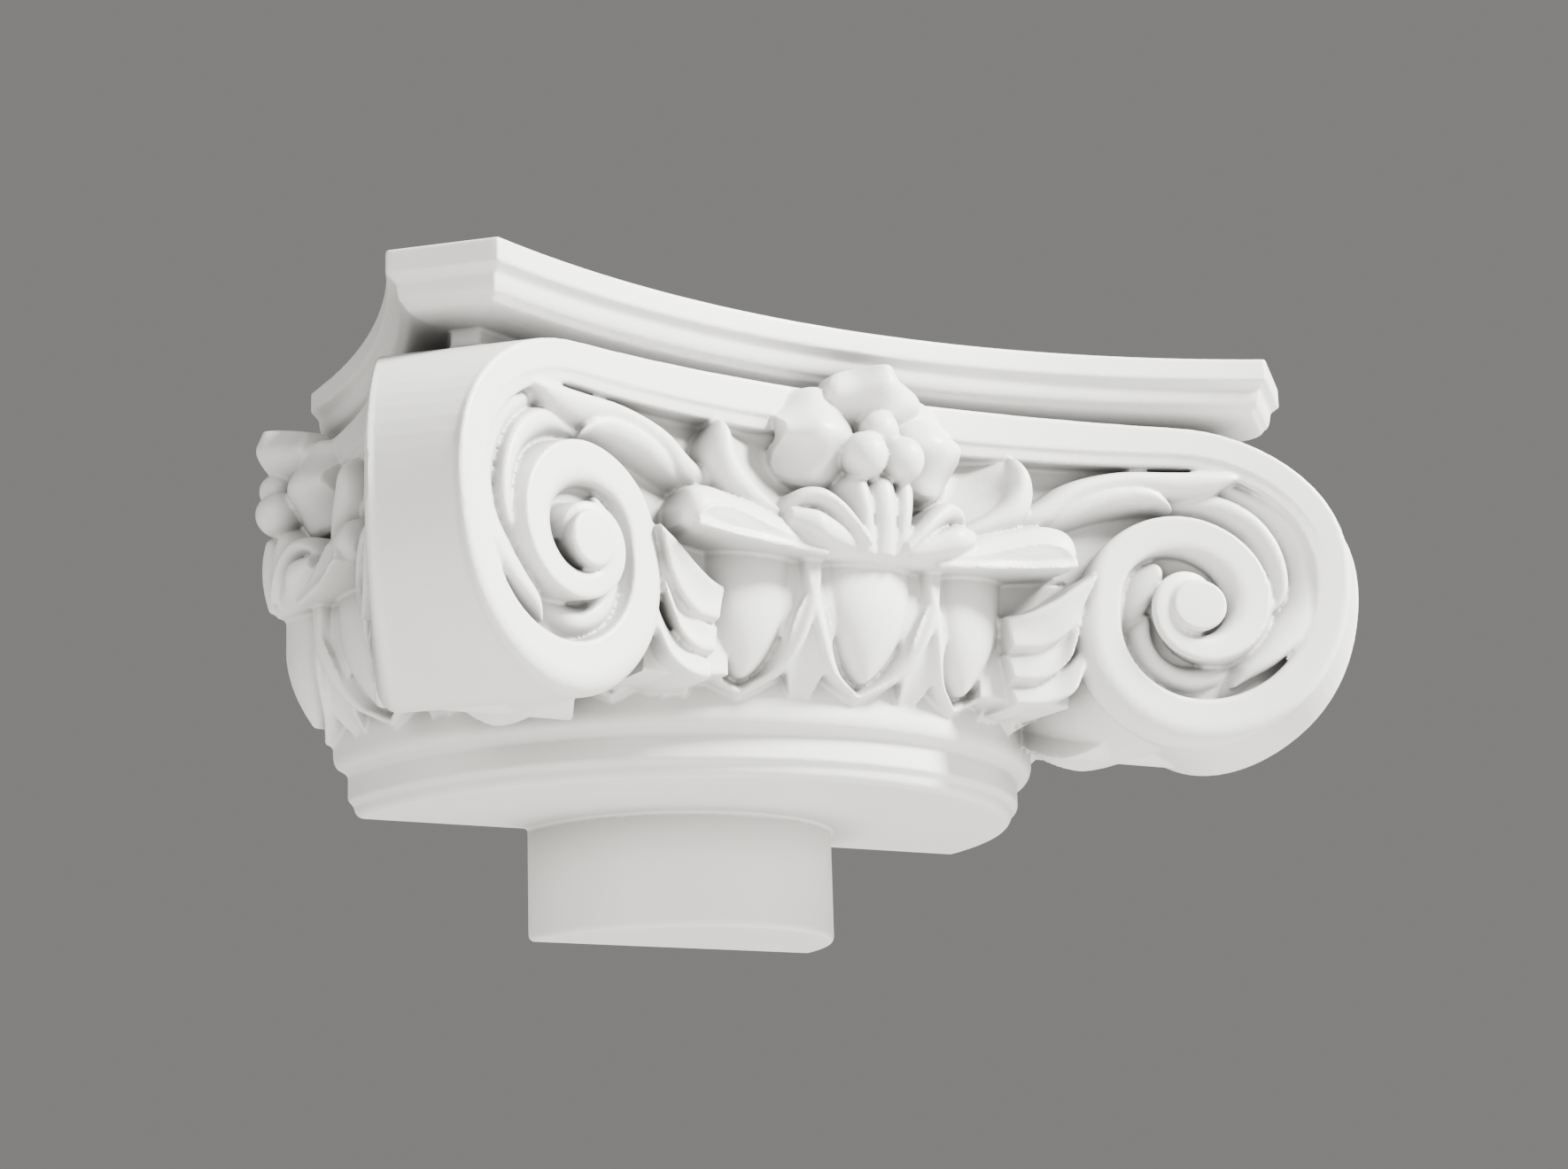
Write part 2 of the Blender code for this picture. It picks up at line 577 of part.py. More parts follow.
def cut_flat(made, y):
    """Cuts off everything behind the plane at y and closes the cut."""
    mesh = bmesh.new()
    mesh.from_mesh(made.data)
    everything = mesh.verts[:] + mesh.edges[:] + mesh.faces[:]
    cut = bmesh.ops.bisect_plane(mesh, geom=everything, dist=1e-7, plane_co=(0, y, 0), plane_no=(0, 1, 0),
                                 clear_outer=True)
    edges = [item for item in cut["geom_cut"] if isinstance(item, bmesh.types.BMEdge)]
    bmesh.ops.triangle_fill(mesh, edges=edges, use_beauty=True)
    bmesh.ops.recalc_face_normals(mesh, faces=mesh.faces[:])
    mesh.to_mesh(made.data)
    mesh.free()


def join_body(target, other):
    """Adds one closed body to another and removes the added object."""
    add = target.modifiers.new("add", "BOOLEAN")
    add.operation = "UNION"
    add.solver = "EXACT"
    add.object = other
    apply_modifiers(target)
    bpy.data.objects.remove(other)
    mesh = bmesh.new()
    mesh.from_mesh(target.data)
    bmesh.ops.remove_doubles(mesh, verts=mesh.verts[:], dist=WELD)
    bmesh.ops.dissolve_degenerate(mesh, edges=mesh.edges[:], dist=WELD)
    mesh.to_mesh(target.data)
    mesh.free()


def cast_material():
    material = bpy.data.materials.new("white_cast_polyurethane")
    material.use_nodes = True
    shader = material.node_tree.nodes["Principled BSDF"]
    shader.inputs["Base Color"].default_value = (0.86, 0.86, 0.85, 1.0)
    shader.inputs["Roughness"].default_value = 0.45
    shader.inputs["Metallic"].default_value = 0.0
    return material


def main():
    for old in list(bpy.data.objects):
        bpy.data.objects.remove(old)
    capital = make_carving()
    capital.name = "capital"
    join_body(capital, make_neck())
    join_body(capital, make_abacus())
    part_touching_skins(capital)
    cut_flat(capital, 0.0)
    capital.data.shade_smooth()
    capital.data.set_sharp_from_angle(angle=math.radians(35))
    capital.data.materials.clear()
    capital.data.materials.append(cast_material())


main()
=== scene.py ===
"""Looks of a cast half capital: hollow-sided abacus, four-way scrolls, leaves, flowers and an egg row."""
import json
import math

import bmesh
import bpy
from bpy.props import FloatProperty, FloatVectorProperty, IntProperty, PointerProperty, StringProperty
import numpy as np
from mathutils import Matrix, Vector

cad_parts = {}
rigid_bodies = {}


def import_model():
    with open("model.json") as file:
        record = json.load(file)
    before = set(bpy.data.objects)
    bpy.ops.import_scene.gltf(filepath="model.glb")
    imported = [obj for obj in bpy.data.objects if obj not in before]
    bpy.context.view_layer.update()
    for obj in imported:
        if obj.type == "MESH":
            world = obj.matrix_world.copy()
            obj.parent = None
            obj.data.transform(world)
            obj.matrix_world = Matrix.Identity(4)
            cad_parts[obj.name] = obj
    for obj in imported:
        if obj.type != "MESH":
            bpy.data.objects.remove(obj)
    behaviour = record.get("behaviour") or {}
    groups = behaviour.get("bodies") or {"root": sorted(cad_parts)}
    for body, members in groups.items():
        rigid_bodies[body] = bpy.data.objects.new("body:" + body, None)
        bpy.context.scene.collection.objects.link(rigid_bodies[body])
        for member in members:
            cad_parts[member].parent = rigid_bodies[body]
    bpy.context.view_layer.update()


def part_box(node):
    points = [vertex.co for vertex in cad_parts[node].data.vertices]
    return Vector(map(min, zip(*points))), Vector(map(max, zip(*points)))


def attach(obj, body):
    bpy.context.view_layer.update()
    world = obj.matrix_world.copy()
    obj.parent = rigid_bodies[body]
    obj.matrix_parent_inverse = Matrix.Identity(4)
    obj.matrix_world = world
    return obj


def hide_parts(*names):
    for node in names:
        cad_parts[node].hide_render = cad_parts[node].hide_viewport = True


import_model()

BODY = "root"
NODE = "capital"

bl_info = {
    "name": "Cast scroll capital",
    "version": (1, 0, 0),
    "blender": (4, 5, 0),
    "location": "View3D > Sidebar > Capital",
    "description": "Builds a half-round cast capital with scrolls, leaves and an egg row",
    "category": "Add Mesh",
}

NODE_LOW, NODE_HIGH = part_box(NODE)

# Carving is laid out in shares of the abacus reach across and of the lip's height up
LIP_TOP_SHARE = 0.735

# Scroll band at each eighth of a turn from the top: outer radius, width, rise and the rounds of its edges
SCROLL_X = 0.660
SCROLL_Z = 0.345
SCROLL_RADII = (0.375, 0.354, 0.300, 0.283, 0.270, 0.235, 0.1985, 0.195, 0.191, 0.171,
                0.147, 0.126, 0.107, 0.093, 0.083, 0.078, 0.074, 0.066, 0.053)
BAND_WIDTHS = (0.080, 0.076, 0.070, 0.081, 0.096, 0.093, 0.078, 0.070, 0.082, 0.079,
               0.071, 0.061, 0.051, 0.043, 0.036, 0.032, 0.028, 0.020, 0.006)
BAND_RISES = (0, 0, 0, 0, 0, 0, 0, 0.003, 0.008, 0.014,
              0.021, 0.028, 0.034, 0.038, 0.040, 0.036, 0.026, 0.012, 0)
OUTER_ROUNDS = (0.006, 0.012, 0.022, 0.030, 0.040, 0.042, 0.036, 0.014, 0.008, 0.007,
                0.007, 0.007, 0.008, 0.009, 0.010, 0.010, 0.010, 0.008, 0.003)
INNER_ROUNDS = (0.007, 0.008, 0.009, 0.010, 0.010, 0.010, 0.010, 0.014, 0.030, 0.034,
                0.030, 0.022, 0.016, 0.012, 0.010, 0.009, 0.008, 0.006, 0.002)
# The lip's fillet: where it starts across the lip, its points across and down from there, the drop beyond
# it, and the eighths of a turn that it fades over
LEDGE_SHARE = 0.70
FILLET_POINTS = ((0.003, 0.006), (0.009, 0.007))
FILLET_DROP = 0.009
FILLET_FADE = 1.6
# How much lower the lip's top edge is at the scroll than in the middle
LIP_DROP = 0.017
# The solid root behind a scroll: depth, set-back, radius at the top and the bottom, and inset from the band
VOLUTE_DEPTH = 0.34
VOLUTE_SET_BACK = 0.045
ROOT_INSET = 0.012
ROOT_TOP_RADIUS = 0.195
ROOT_LOW_RADIUS = SCROLL_RADII[4] - ROOT_INSET
EYE_RADIUS = 0.052
EYE_RISE = 0.050
# The eye's rings from its root outwards: share of its radius and how far out
EYE_RINGS = ((1.0, -0.06), (1.0, EYE_RISE - 0.008), (0.97, EYE_RISE - 0.003), (0.9, EYE_RISE),
             (0.3, EYE_RISE + 0.001))
# The core behind the channel, and the stretch of lip behind the flower
CORE_REACH = 0.74
CORE_GAP = 0.0005
CORE_TOP_DROP = 0.0060
LIP_MIDDLE_REACH = 0.14
LIP_MIDDLE_DEPTH = 0.35
LIP_MIDDLE_INSET = 0.001
LIP_MIDDLE_TOP_OUT = -0.003
LIP_MIDDLE_LOW_OUT = -0.010
# How far the rounded edge of the upper drum goes in for its height
DRUM_ROUND_INSET = 0.6

# Egg row, in shares
EGG_TIP = 0.174
EGG_CENTRE = 0.380
EGG_HALF_WIDTH = 0.100
EGG_TAPER = 0.12
EGG_ROUND = 0.045
# The row swells to its full depth over this height, on a sine made fuller by a power
EGG_RISE = 0.19
FULLNESS = 0.8
# How far the row's forms reach up into the shelf
SHELF_OVERLAP = 0.015
# An egg's root is this share of its width
EGG_ROOT_SHARE = 0.8
# These powers bring the rows of an egg and of its rim closer together towards the point
EGG_SPACING = 1.6
RIM_SPACING = 0.72
# How deep their roots lie, in metres
EGG_ROOT = 0.020
RIM_ROOT = 0.012
DART_ROOT = 0.010
RIM_GAP = 0.004
RIM_WIDTH = 0.052
RIM_TIP = 0.136
# How much lower than its inner edge a rim's outer edge is, close to the point
RIM_SINK = 0.004
# Across a rim from the egg outwards: share of the width and height above the egg row's surface
RIM_SECTION = ((0, -0.040), (0.2, -0.026), (0.45, -0.008), (0.62, 0.001),
               (0.78, 0.003), (0.9, -0.002), (1, -0.014))
DART_START = RIM_TIP - 0.002
DART_LENGTH = 0.19
DART_POINT = 0.003
DART_HALF_WIDTH = 0.042
DART_HOLLOW = 0.008
DART_DROP = 0.010
# How much deeper a dart lies at its lower end, in metres
DART_SINK = 0.0012
# The plain ground behind a dart
DART_BACKING_LOW = 0.19
DART_BACKING_HALF = 0.055
DART_BACKING_DROP = 0.024


def metres(name, value, words):
    return FloatProperty(name=name, default=value, description=words, unit="LENGTH", precision=4)


class CapitalSizes(bpy.types.PropertyGroup):
    """Sizes that a maker would change."""
    reach: metres("Abacus reach", 0.1700, "Out from the column's axis to the front corners")
    corner_cut: metres("Corner cut", 0.1444, "Sideways from the axis to where a corner is cut off")
    hollow: metres("Abacus hollow", 0.1372, "Out from the axis to the middle of a hollow side")
    fascia: metres("Fascia", 0.0080, "Height of the abacus fascia")
    slope: metres("Slope", 0.0022, "Height of the slope under the fascia")
    slope_inset: metres("Slope inset", 0.0030, "How far the slope goes in")
    ovolo: metres("Ovolo", 0.0060, "Height of the rounded band")
    ovolo_inset: metres("Ovolo inset", 0.0024, "How far the rounded band goes in")
    soffit: metres("Soffit", 0.0051, "Height of the hollow soffit")
    soffit_inset: metres("Soffit inset", 0.0140, "How far the soffit goes in")
    throat: metres("Throat", 0.0190, "How far the abacus root goes down into the body")
    edge: metres("Edge", 0.0008, "Softened edges of the abacus")
    lip_gap: metres("Lip gap", 0.0017, "Air between the scroll lip and the abacus")
    lip_top: metres("Lip top", 0.1250, "Top of the scroll lip above the seat")
    face_forward: metres("Face forward", 0.0005, "How far the lip stands out from the abacus hollow")
    face_radius: metres("Face radius", 0.3060, "Curve of the hollow front seen from above")
    channel: metres("Channel depth", 0.0100, "Floor of the channel behind the band")
    scroll_floor: metres("Scroll floor", 0.0105, "Floor inside the scroll")
    seat_radius: metres("Seat radius", 0.1175, "Radius of the seat on the shaft")
    foot: metres("Foot", 0.0037, "Height of the hollow foot above the seat")
    foot_step: metres("Foot step", 0.0022, "Step from the foot to the lower drum")
    lower_radius: metres("Lower drum radius", 0.1231, "Radius of the lower drum")
    lower_height: metres("Lower drum", 0.0104, "Height of the lower drum")
    drum_step: metres("Drum step", 0.0014, "Step between the drums")
    upper_radius: metres("Upper drum radius", 0.1285, "Radius of the upper drum")
    drum_round: metres("Drum round", 0.0052, "Rounded lower edge of the upper drum")
    plug_radius: metres("Plug radius", 0.0565, "Radius of the plug")
    plug_length: metres("Plug length", -NODE_LOW[2], "Length of the plug below the seat")
    plug_edge: metres("Plug edge", 0.0020, "Softened end of the plug")
    bed_radius: metres("Egg bed radius", 0.1330, "Round bed that carries the eggs")
    egg_proud: metres("Egg height", 0.0125, "Eggs and rims above their bed")
    shelf: metres("Shelf height", 0.0690, "Underside of the leaf shelf above the seat")
    eggs_around: IntProperty(name="Eggs", default=20, min=8, description="Eggs on a whole turn")


class CapitalCasting(bpy.types.PropertyGroup):
    """How finely the casting is worked and how it is painted."""
    grain: metres("Grain", 0.0007, "Size of the smallest form in the casting")
    softening: IntProperty(name="Softening", default=2, min=0, description="Passes that soften the edges")
    wall_margin: metres("Wall margin", 0.0080, "Built this far past the wall plane, then cut flat")
    triangles: IntProperty(name="Triangles", default=196000, description="Triangles in the finished casting")
    paint: StringProperty(name="Paint", default="#EDECE9", description="Colour of the factory primer")
    shade: StringProperty(name="Shade", default="#E2E1DD", description="Colour where the primer lies thinner")
    # This colour is painted shade, laid into creases and recesses where shade falls.
    painted_crease_shade: StringProperty(name="Crease", default="#82817F", description="Tone deep in the creases")
    gloss: FloatProperty(name="Roughness", default=0.42, min=0, max=1, description="Roughness of the primer")


def sizes():
    return bpy.context.scene.capital_sizes


def share_up():
    return sizes().lip_top / LIP_TOP_SHARE


def front_point(x, z, out=0.0):
    """A point on the hollow front, from its shares across and up, out towards the viewer."""
    s = sizes()
    across = x * s.reach
    bow = s.face_radius - math.sqrt(s.face_radius ** 2 - across ** 2)
    return Vector((across, -(s.hollow + s.face_forward + bow) - out * s.reach, z * share_up()))


def across_corner(point):
    """The same point seen in the corner's diagonal mirror."""
    return Vector((-point.y, -point.x, point.z))


def smooth_at(values, t):
    """Catmull-Rom value of an evenly spaced list at t, counted in steps."""
    i = min(int(t), len(values) - 2)
    f = t - i
    before = values[max(i - 1, 0)]
    a = values[i]
    b = values[i + 1]
    after = values[min(i + 2, len(values) - 1)]
    return a + 0.5 * f * (b - before + f * (2 * before - 5 * a + 4 * b - after
                                            + f * (3 * (a - b) + after - before)))


def smooth_rows(rows, steps):
    """Rows of numbers along a smooth curve through the given ones."""
    columns = list(zip(*rows))
    last = len(rows) - 1
    return [tuple(smooth_at(column, last * i / steps) for column in columns) for i in range(steps + 1)]


def select_only(*objects):
    for other in bpy.context.view_layer.objects:
        other.select_set(False)
    for item in objects:
        item.select_set(True)
    bpy.context.view_layer.objects.active = objects[0]


def new_object(name, mesh):
    data = bpy.data.meshes.new(name)
    mesh.to_mesh(data)
    mesh.free()
    made = bpy.data.objects.new(name, data)
    bpy.context.scene.collection.objects.link(made)
    return made


def skin(mesh, rings):
    """A closed body through rings of equal count, with flat ends."""
    rows = [[mesh.verts.new(p) for p in ring] for ring in rings]
    count = len(rows[0])
    faces = []
    for low, high in zip(rows, rows[1:]):
        for i in range(count):
            j = (i + 1) % count
            faces.append(mesh.faces.new((low[i], low[j], high[j], high[i])))
    faces.append(mesh.faces.new(list(reversed(rows[0]))))
    faces.append(mesh.faces.new(rows[-1]))
    bmesh.ops.recalc_face_normals(mesh, faces=faces)


def placed_copies(made, matrices):
    """Copies with their own mesh, one for each place; the first one is moved itself."""
    copies = [made] + [made.copy() for _ in matrices[1:]]
    for item in copies[1:]:
        item.data = made.data.copy()
        bpy.context.scene.collection.objects.link(item)
    for item, matrix in zip(copies, matrices):
        item.data.transform(matrix)
        if matrix.determinant() < 0:
            item.data.flip_normals()
    return copies


def front_and_sides():
    """Where what stands in the middle of the front goes: front, left side, right side."""
    return [Matrix.Rotation(math.pi / 2 * i, 4, "Z") for i in (0, -1, 1)]


def half_front_places():
    """Where the right half of the front goes: front right, front left, right side, left side."""
    mirror = Matrix.Scale(-1, 4, (1, 0, 0))
    quarter = math.pi / 2
    return (Matrix(), mirror, Matrix.Rotation(quarter, 4, "Z") @ mirror, Matrix.Rotation(-quarter, 4, "Z"))


def apply_modifier(made, kind, **settings):
    select_only(made)
    bpy.ops.object.modifier_add(type=kind)
    modifier = made.modifiers[-1]
    for key, value in settings.items():
        setattr(modifier, key, value)
    bpy.ops.object.modifier_apply(modifier=modifier.name)


# Abacus and neck

def four_sides(side):
    """The plan of one side turned to all four."""
    ring = []
    for quarter in range(4):
        turn = Matrix.Rotation(quarter * math.pi / 2, 2)
        ring += [turn @ p for p in side]
    return ring


def abacus_outline(inset, steps=40):
    """Plan of the abacus: four hollow sides and four cut corners, moved in by the inset."""
    s = sizes()
    bow = s.reach - s.hollow
    radius = (s.corner_cut ** 2 + bow ** 2) / (2 * bow)
    centre = s.hollow + radius
    corner_line = s.reach + s.corner_cut - inset * math.sqrt(2)
    arc = radius + inset
    c = centre - corner_line
    end = (math.sqrt(2 * arc ** 2 - c ** 2) - c) / 2
    side = []
    for i in range(steps + 1):
        x = end * (2 * i / steps - 1)
        side.append(Vector((x, math.sqrt(arc ** 2 - x ** 2) - centre)))
    return four_sides(side)


def quarter_round(steps):
    """Sine and one minus cosine over a quarter turn."""
    for i in range(steps + 1):
        angle = math.pi / 2 * i / steps
        yield math.sin(angle), 1 - math.cos(angle)


def make_abacus():
    s = sizes()
    soffit = s.lip_top + s.lip_gap
    ovolo = soffit + s.soffit
    slope = ovolo + s.ovolo
    fascia = slope + s.slope
    top = fascia + s.fascia
    under = s.slope_inset + s.ovolo_inset
    levels = [(under + s.soffit_inset, soffit - s.throat)]
    levels += [(under + s.soffit_inset * (1 - sine), soffit + s.soffit * rise)
               for sine, rise in quarter_round(8)]
    levels += [(s.slope_inset + s.ovolo_inset * (1 - sine), ovolo + s.ovolo * rise)
               for sine, rise in quarter_round(8)]
    levels += [(s.edge * (1 - sine), fascia + s.edge * rise) for sine, rise in quarter_round(4)]
    levels += [(s.edge * rise, top - s.edge * (1 - sine)) for sine, rise in quarter_round(4)]
    mesh = bmesh.new()
    skin(mesh, [[Vector((p.x, p.y, z)) for p in abacus_outline(inset)] for inset, z in levels])
    return new_object("abacus", mesh)


def make_neck():
    """Plug, seat, drums and the egg row's bed, from one edge profile spun about the column's axis."""
    s = sizes()
    lower_top = s.foot + s.lower_height
    upper_start = lower_top + s.drum_step
    shoulder = s.lower_radius - s.foot_step
    profile = [(0.0, -s.plug_length)]
    profile += [(s.plug_radius - s.plug_edge * (1 - sine), s.plug_edge * rise - s.plug_length)
                for sine, rise in quarter_round(4)]
    profile.append((s.plug_radius, 0.0))
    profile += [(s.seat_radius + (shoulder - s.seat_radius) * sine, s.foot * rise)
                for sine, rise in quarter_round(6)]
    profile += [(s.lower_radius, s.foot + s.foot_step), (s.lower_radius, lower_top)]
    profile += [(s.upper_radius - s.drum_round * (1 - sine) * DRUM_ROUND_INSET,
                 upper_start + s.drum_round * rise) for sine, rise in quarter_round(6)]
    bed_top = s.shelf + s.channel
    profile += [(s.upper_radius, EGG_TIP * share_up()), (s.bed_radius, s.shelf)]
    profile += [(s.bed_radius, bed_top), (0.0, bed_top)]
    mesh = bmesh.new()
    verts = [mesh.verts.new((radius, 0, z)) for radius, z in profile]
    for a, b in zip(verts, verts[1:]):
        mesh.edges.new((a, b))
    made = new_object("neck", mesh)
    select_only(made)
    bpy.ops.object.mode_set(mode="EDIT")
    bpy.ops.mesh.select_all(action="SELECT")
    bpy.ops.mesh.spin(steps=144, angle=2 * math.pi, center=(0, 0, 0), axis=(0, 0, 1))
    bpy.ops.mesh.select_all(action="SELECT")
    bpy.ops.mesh.remove_doubles(threshold=1e-6)
    bpy.ops.mesh.normals_make_consistent(inside=False)
    bpy.ops.object.mode_set(mode="OBJECT")
    return made


# Egg row

def egg_surface(z):
    """Radius of the egg row's rounded front at a share z up."""
    s = sizes()
    rise = min(max((z - RIM_TIP) / EGG_RISE, 0.0), 1.0)
    full = s.bed_radius + s.egg_proud
    return s.upper_radius + (full - s.upper_radius) * math.sin(math.pi / 2 * rise) ** FULLNESS


def egg_width(z):
    """Half width of an egg at a share z up."""
    drop = max(EGG_CENTRE - z, 0.0) / (EGG_CENTRE - EGG_TIP)
    return EGG_HALF_WIDTH * math.sqrt(max(1.0 - drop ** 2, 0.0)) * (1.0 - EGG_TAPER * drop)


def egg_row_top():
    return sizes().shelf / share_up() + SHELF_OVERLAP


def around(radius, sideways, z):
    """A point of the egg row: radius, sideways distance in shares, height in shares."""
    s = sizes()
    angle = sideways * s.reach / (s.bed_radius + s.egg_proud)
    return Vector((radius * math.sin(angle), -radius * math.cos(angle), z * share_up()))


def make_egg():
    s = sizes()
    shelf = egg_row_top()
    back = s.bed_radius - EGG_ROOT
    mesh = bmesh.new()
    rings = []
    for i in range(33):
        z = EGG_TIP + 0.001 + (shelf - EGG_TIP) * (i / 32) ** EGG_SPACING
        half = max(egg_width(z), 0.002)
        ring = []
        for j in range(25):
            u = j / 12 - 1
            dip = EGG_ROUND * (1 - math.sqrt(max(1 - (0.97 * u) ** 2, 0.0))) * s.reach
            ring.append(around(egg_surface(z) - dip, u * half, z))
        ring += [around(back, half * EGG_ROOT_SHARE, z), around(back, -half * EGG_ROOT_SHARE, z)]
        rings.append(ring)
    skin(mesh, rings)
    return new_object("egg", mesh)


def make_rim():
    """The shell round an egg: down one side, round the point and up the other."""
    s = sizes()
    shelf = egg_row_top()
    back = s.upper_radius - RIM_ROOT
    side = []
    for i in range(28):
        z = shelf - (shelf - EGG_TIP) * (i / 28) ** RIM_SPACING
        inner = egg_width(z) + RIM_GAP
        side.append((inner, z, inner + RIM_WIDTH, z - RIM_SINK * (i / 28)))
    side.append((0.0, EGG_TIP - RIM_GAP, 0.0, RIM_TIP))
    path = [(-a, b, -c, d) for a, b, c, d in side] + [(a, b, c, d) for a, b, c, d in reversed(side[:-1])]
    mesh = bmesh.new()
    rings = []
    for inner_x, inner_z, outer_x, outer_z in path:
        ring = [around(back, inner_x, inner_z)]
        for share, lift in RIM_SECTION:
            x = inner_x + (outer_x - inner_x) * share
            z = inner_z + (outer_z - inner_z) * share
            ring.append(around(egg_surface(z) + lift * s.reach, x, z))
        ring.append(around(back, outer_x, outer_z))
        rings.append(ring)
    skin(mesh, rings)
    return new_object("rim", mesh)


def make_dart():
    """The small pointed leaf between two rims."""
    s = sizes()
    half_step = math.pi / s.eggs_around * (s.bed_radius + s.egg_proud) / s.reach
    back = s.upper_radius - DART_ROOT
    mesh = bmesh.new()
    rings = []
    for i in range(17):
        t = i / 16
        z = DART_START + DART_LENGTH * t
        half = DART_POINT + DART_HALF_WIDTH * math.sin(math.pi * min(0.08 + t * 0.85, 1.0)) ** FULLNESS
        ring = [around(back, half_step - half, z)]
        for j in range(9):
            u = j / 4 - 1
            hollow = DART_HOLLOW * u ** 2 - DART_DROP
            radius = egg_surface(z) + hollow * s.reach - DART_SINK * (1 - t)
            ring.append(around(radius, half_step + half * u, z))
        ring.append(around(back, half_step + half, z))
        rings.append(ring)
    skin(mesh, rings)
    backing = []
    for i in range(9):
        z = DART_BACKING_LOW + (egg_row_top() - DART_BACKING_LOW) * i / 8
        front = egg_surface(z) - DART_BACKING_DROP * s.reach
        left = half_step - DART_BACKING_HALF
        right = half_step + DART_BACKING_HALF
        backing.append([around(back, left, z), around(front, left, z), around(front, half_step, z),
                        around(front, right, z), around(back, right, z)])
    skin(mesh, backing)
    return new_object("dart", mesh)


# Scrolls, body and lip

def scroll_point(radius, angle):
    """Shares across and up of a point of the scroll, at an angle clockwise from its top."""
    return SCROLL_X + radius * math.sin(angle), SCROLL_Z + radius * math.cos(angle)


def band_stations(steps_per_eighth=9, lip_steps=20):
    """Outer point, inner point, rise and turn along the band, from the middle of the lip to the eye."""
    stations = []
    start_radius = SCROLL_RADII[0]
    for i in range(lip_steps):
        t = i / lip_steps
        top = SCROLL_Z + start_radius + LIP_DROP * (1 - t ** 2)
        low = SCROLL_Z + start_radius - BAND_WIDTHS[0]
        stations.append(((SCROLL_X * t, top), (SCROLL_X * t, low), 0.0, 0.0))
    last = (len(SCROLL_RADII) - 1) * steps_per_eighth
    for i in range(last + 1):
        t = i / steps_per_eighth
        angle = math.pi / 4 * t
        radius = smooth_at(SCROLL_RADII, t)
        inner = radius - smooth_at(BAND_WIDTHS, t)
        rise = smooth_at(BAND_RISES, t)
        stations.append((scroll_point(radius, angle), scroll_point(inner, angle), rise, t))
    return stations


def band_section(width, turn):
    """Shares across the band and their drops: outer round, face, the lip's fillet and inner round."""
    fillet = max(0.0, 1 - turn / FILLET_FADE)
    outer = min(smooth_at(OUTER_ROUNDS, turn), width * 0.55)
    inner = min(smooth_at(INNER_ROUNDS, turn), width * 0.45)
    points = [(outer * rise, outer * (1 - sine)) for sine, rise in quarter_round(6)]
    ledge = width * LEDGE_SHARE if fillet else width - inner
    fillet_drop = FILLET_DROP * fillet
    points.append((ledge, 0.0))
    points += [(ledge + across * fillet, drop * fillet) for across, drop in FILLET_POINTS]
    for sine, rise in reversed(list(quarter_round(6))):
        points.append((width - inner * rise, fillet_drop + inner * (1 - sine)))
    points.sort(key=lambda point: point[0])
    return [(across / width, drop) for across, drop in points]


def root_radius(eighth):
    """Radius of a scroll's root by eighths of a turn: it grows to the bottom, then follows the band."""
    if eighth >= 4:
        return smooth_at(SCROLL_RADII, eighth) - ROOT_INSET
    return ROOT_TOP_RADIUS + (ROOT_LOW_RADIUS - ROOT_TOP_RADIUS) * eighth / 4


def make_scroll():
    """The band from the lip to the eye, its floor and its eye, carried across the corner to the next side."""
    s = sizes()
    mesh = bmesh.new()
    rings = []
    for outer, inner, rise, turn in band_stations():
        width = math.hypot(outer[0] - inner[0], outer[1] - inner[1])
        front = []
        for share, drop in band_section(width, turn):
            x = outer[0] + (inner[0] - outer[0]) * share
            z = outer[1] + (inner[1] - outer[1]) * share
            front.append(front_point(x, z, rise - drop))
        rings.append(front + [across_corner(p) for p in reversed(front)])
    skin(mesh, rings)
    floor = []
    root = []
    for i in range(72):
        t = i / 9
        angle = math.pi / 4 * t
        radius = smooth_at(SCROLL_RADII, t) - smooth_at(BAND_WIDTHS, t) / 2
        floor.append(front_point(*scroll_point(radius, angle), -s.scroll_floor / s.reach))
        root.append(front_point(*scroll_point(root_radius(t), angle), -VOLUTE_SET_BACK))
    skin(mesh, [floor, [across_corner(p) for p in floor]])
    back = Vector((0, VOLUTE_DEPTH * s.reach, 0))
    skin(mesh, [root, [p + back for p in root]])
    skin(mesh, [[across_corner(p) for p in root], [across_corner(p + back) for p in root]])
    eye = []
    for radius, out in EYE_RINGS:
        ring = []
        for i in range(48):
            angle = math.pi / 24 * i
            ring.append(front_point(SCROLL_X + EYE_RADIUS * radius * math.cos(angle),
                                    SCROLL_Z + EYE_RADIUS * radius * math.sin(angle), out))
        eye.append(ring)
    skin(mesh, eye)
    return new_object("scroll", mesh)


def make_core():
    """The core behind the channel: four hollow sides joined across the corners."""
    s = sizes()
    side = []
    for i in range(49):
        side.append(front_point(CORE_REACH * (i / 24 - 1), 0.0, -s.channel / s.reach).to_2d())
    ring = four_sides(side)
    mesh = bmesh.new()
    levels = (s.shelf + CORE_GAP, s.lip_top - CORE_TOP_DROP)
    skin(mesh, [[Vector((p.x, p.y, z)) for p in ring] for z in levels])
    return new_object("core", mesh)


def make_lip_middle():
    """A short stretch of lip behind the flower that joins the two halves."""
    mesh = bmesh.new()
    rings = []
    top = SCROLL_Z + SCROLL_RADII[0] + LIP_DROP - LIP_MIDDLE_INSET
    low = SCROLL_Z + SCROLL_RADII[0] - BAND_WIDTHS[0] + LIP_MIDDLE_INSET
    for i in range(15):
        x = LIP_MIDDLE_REACH * (i / 7 - 1)
        front_top = front_point(x, top, LIP_MIDDLE_TOP_OUT)
        front_low = front_point(x, low, LIP_MIDDLE_LOW_OUT)
        inward = Vector((0, LIP_MIDDLE_DEPTH * sizes().reach, 0))
        rings.append([front_top, front_low, front_low + inward, front_top + inward])
    skin(mesh, rings)
    return new_object("lip_middle", mesh)


# Leaves

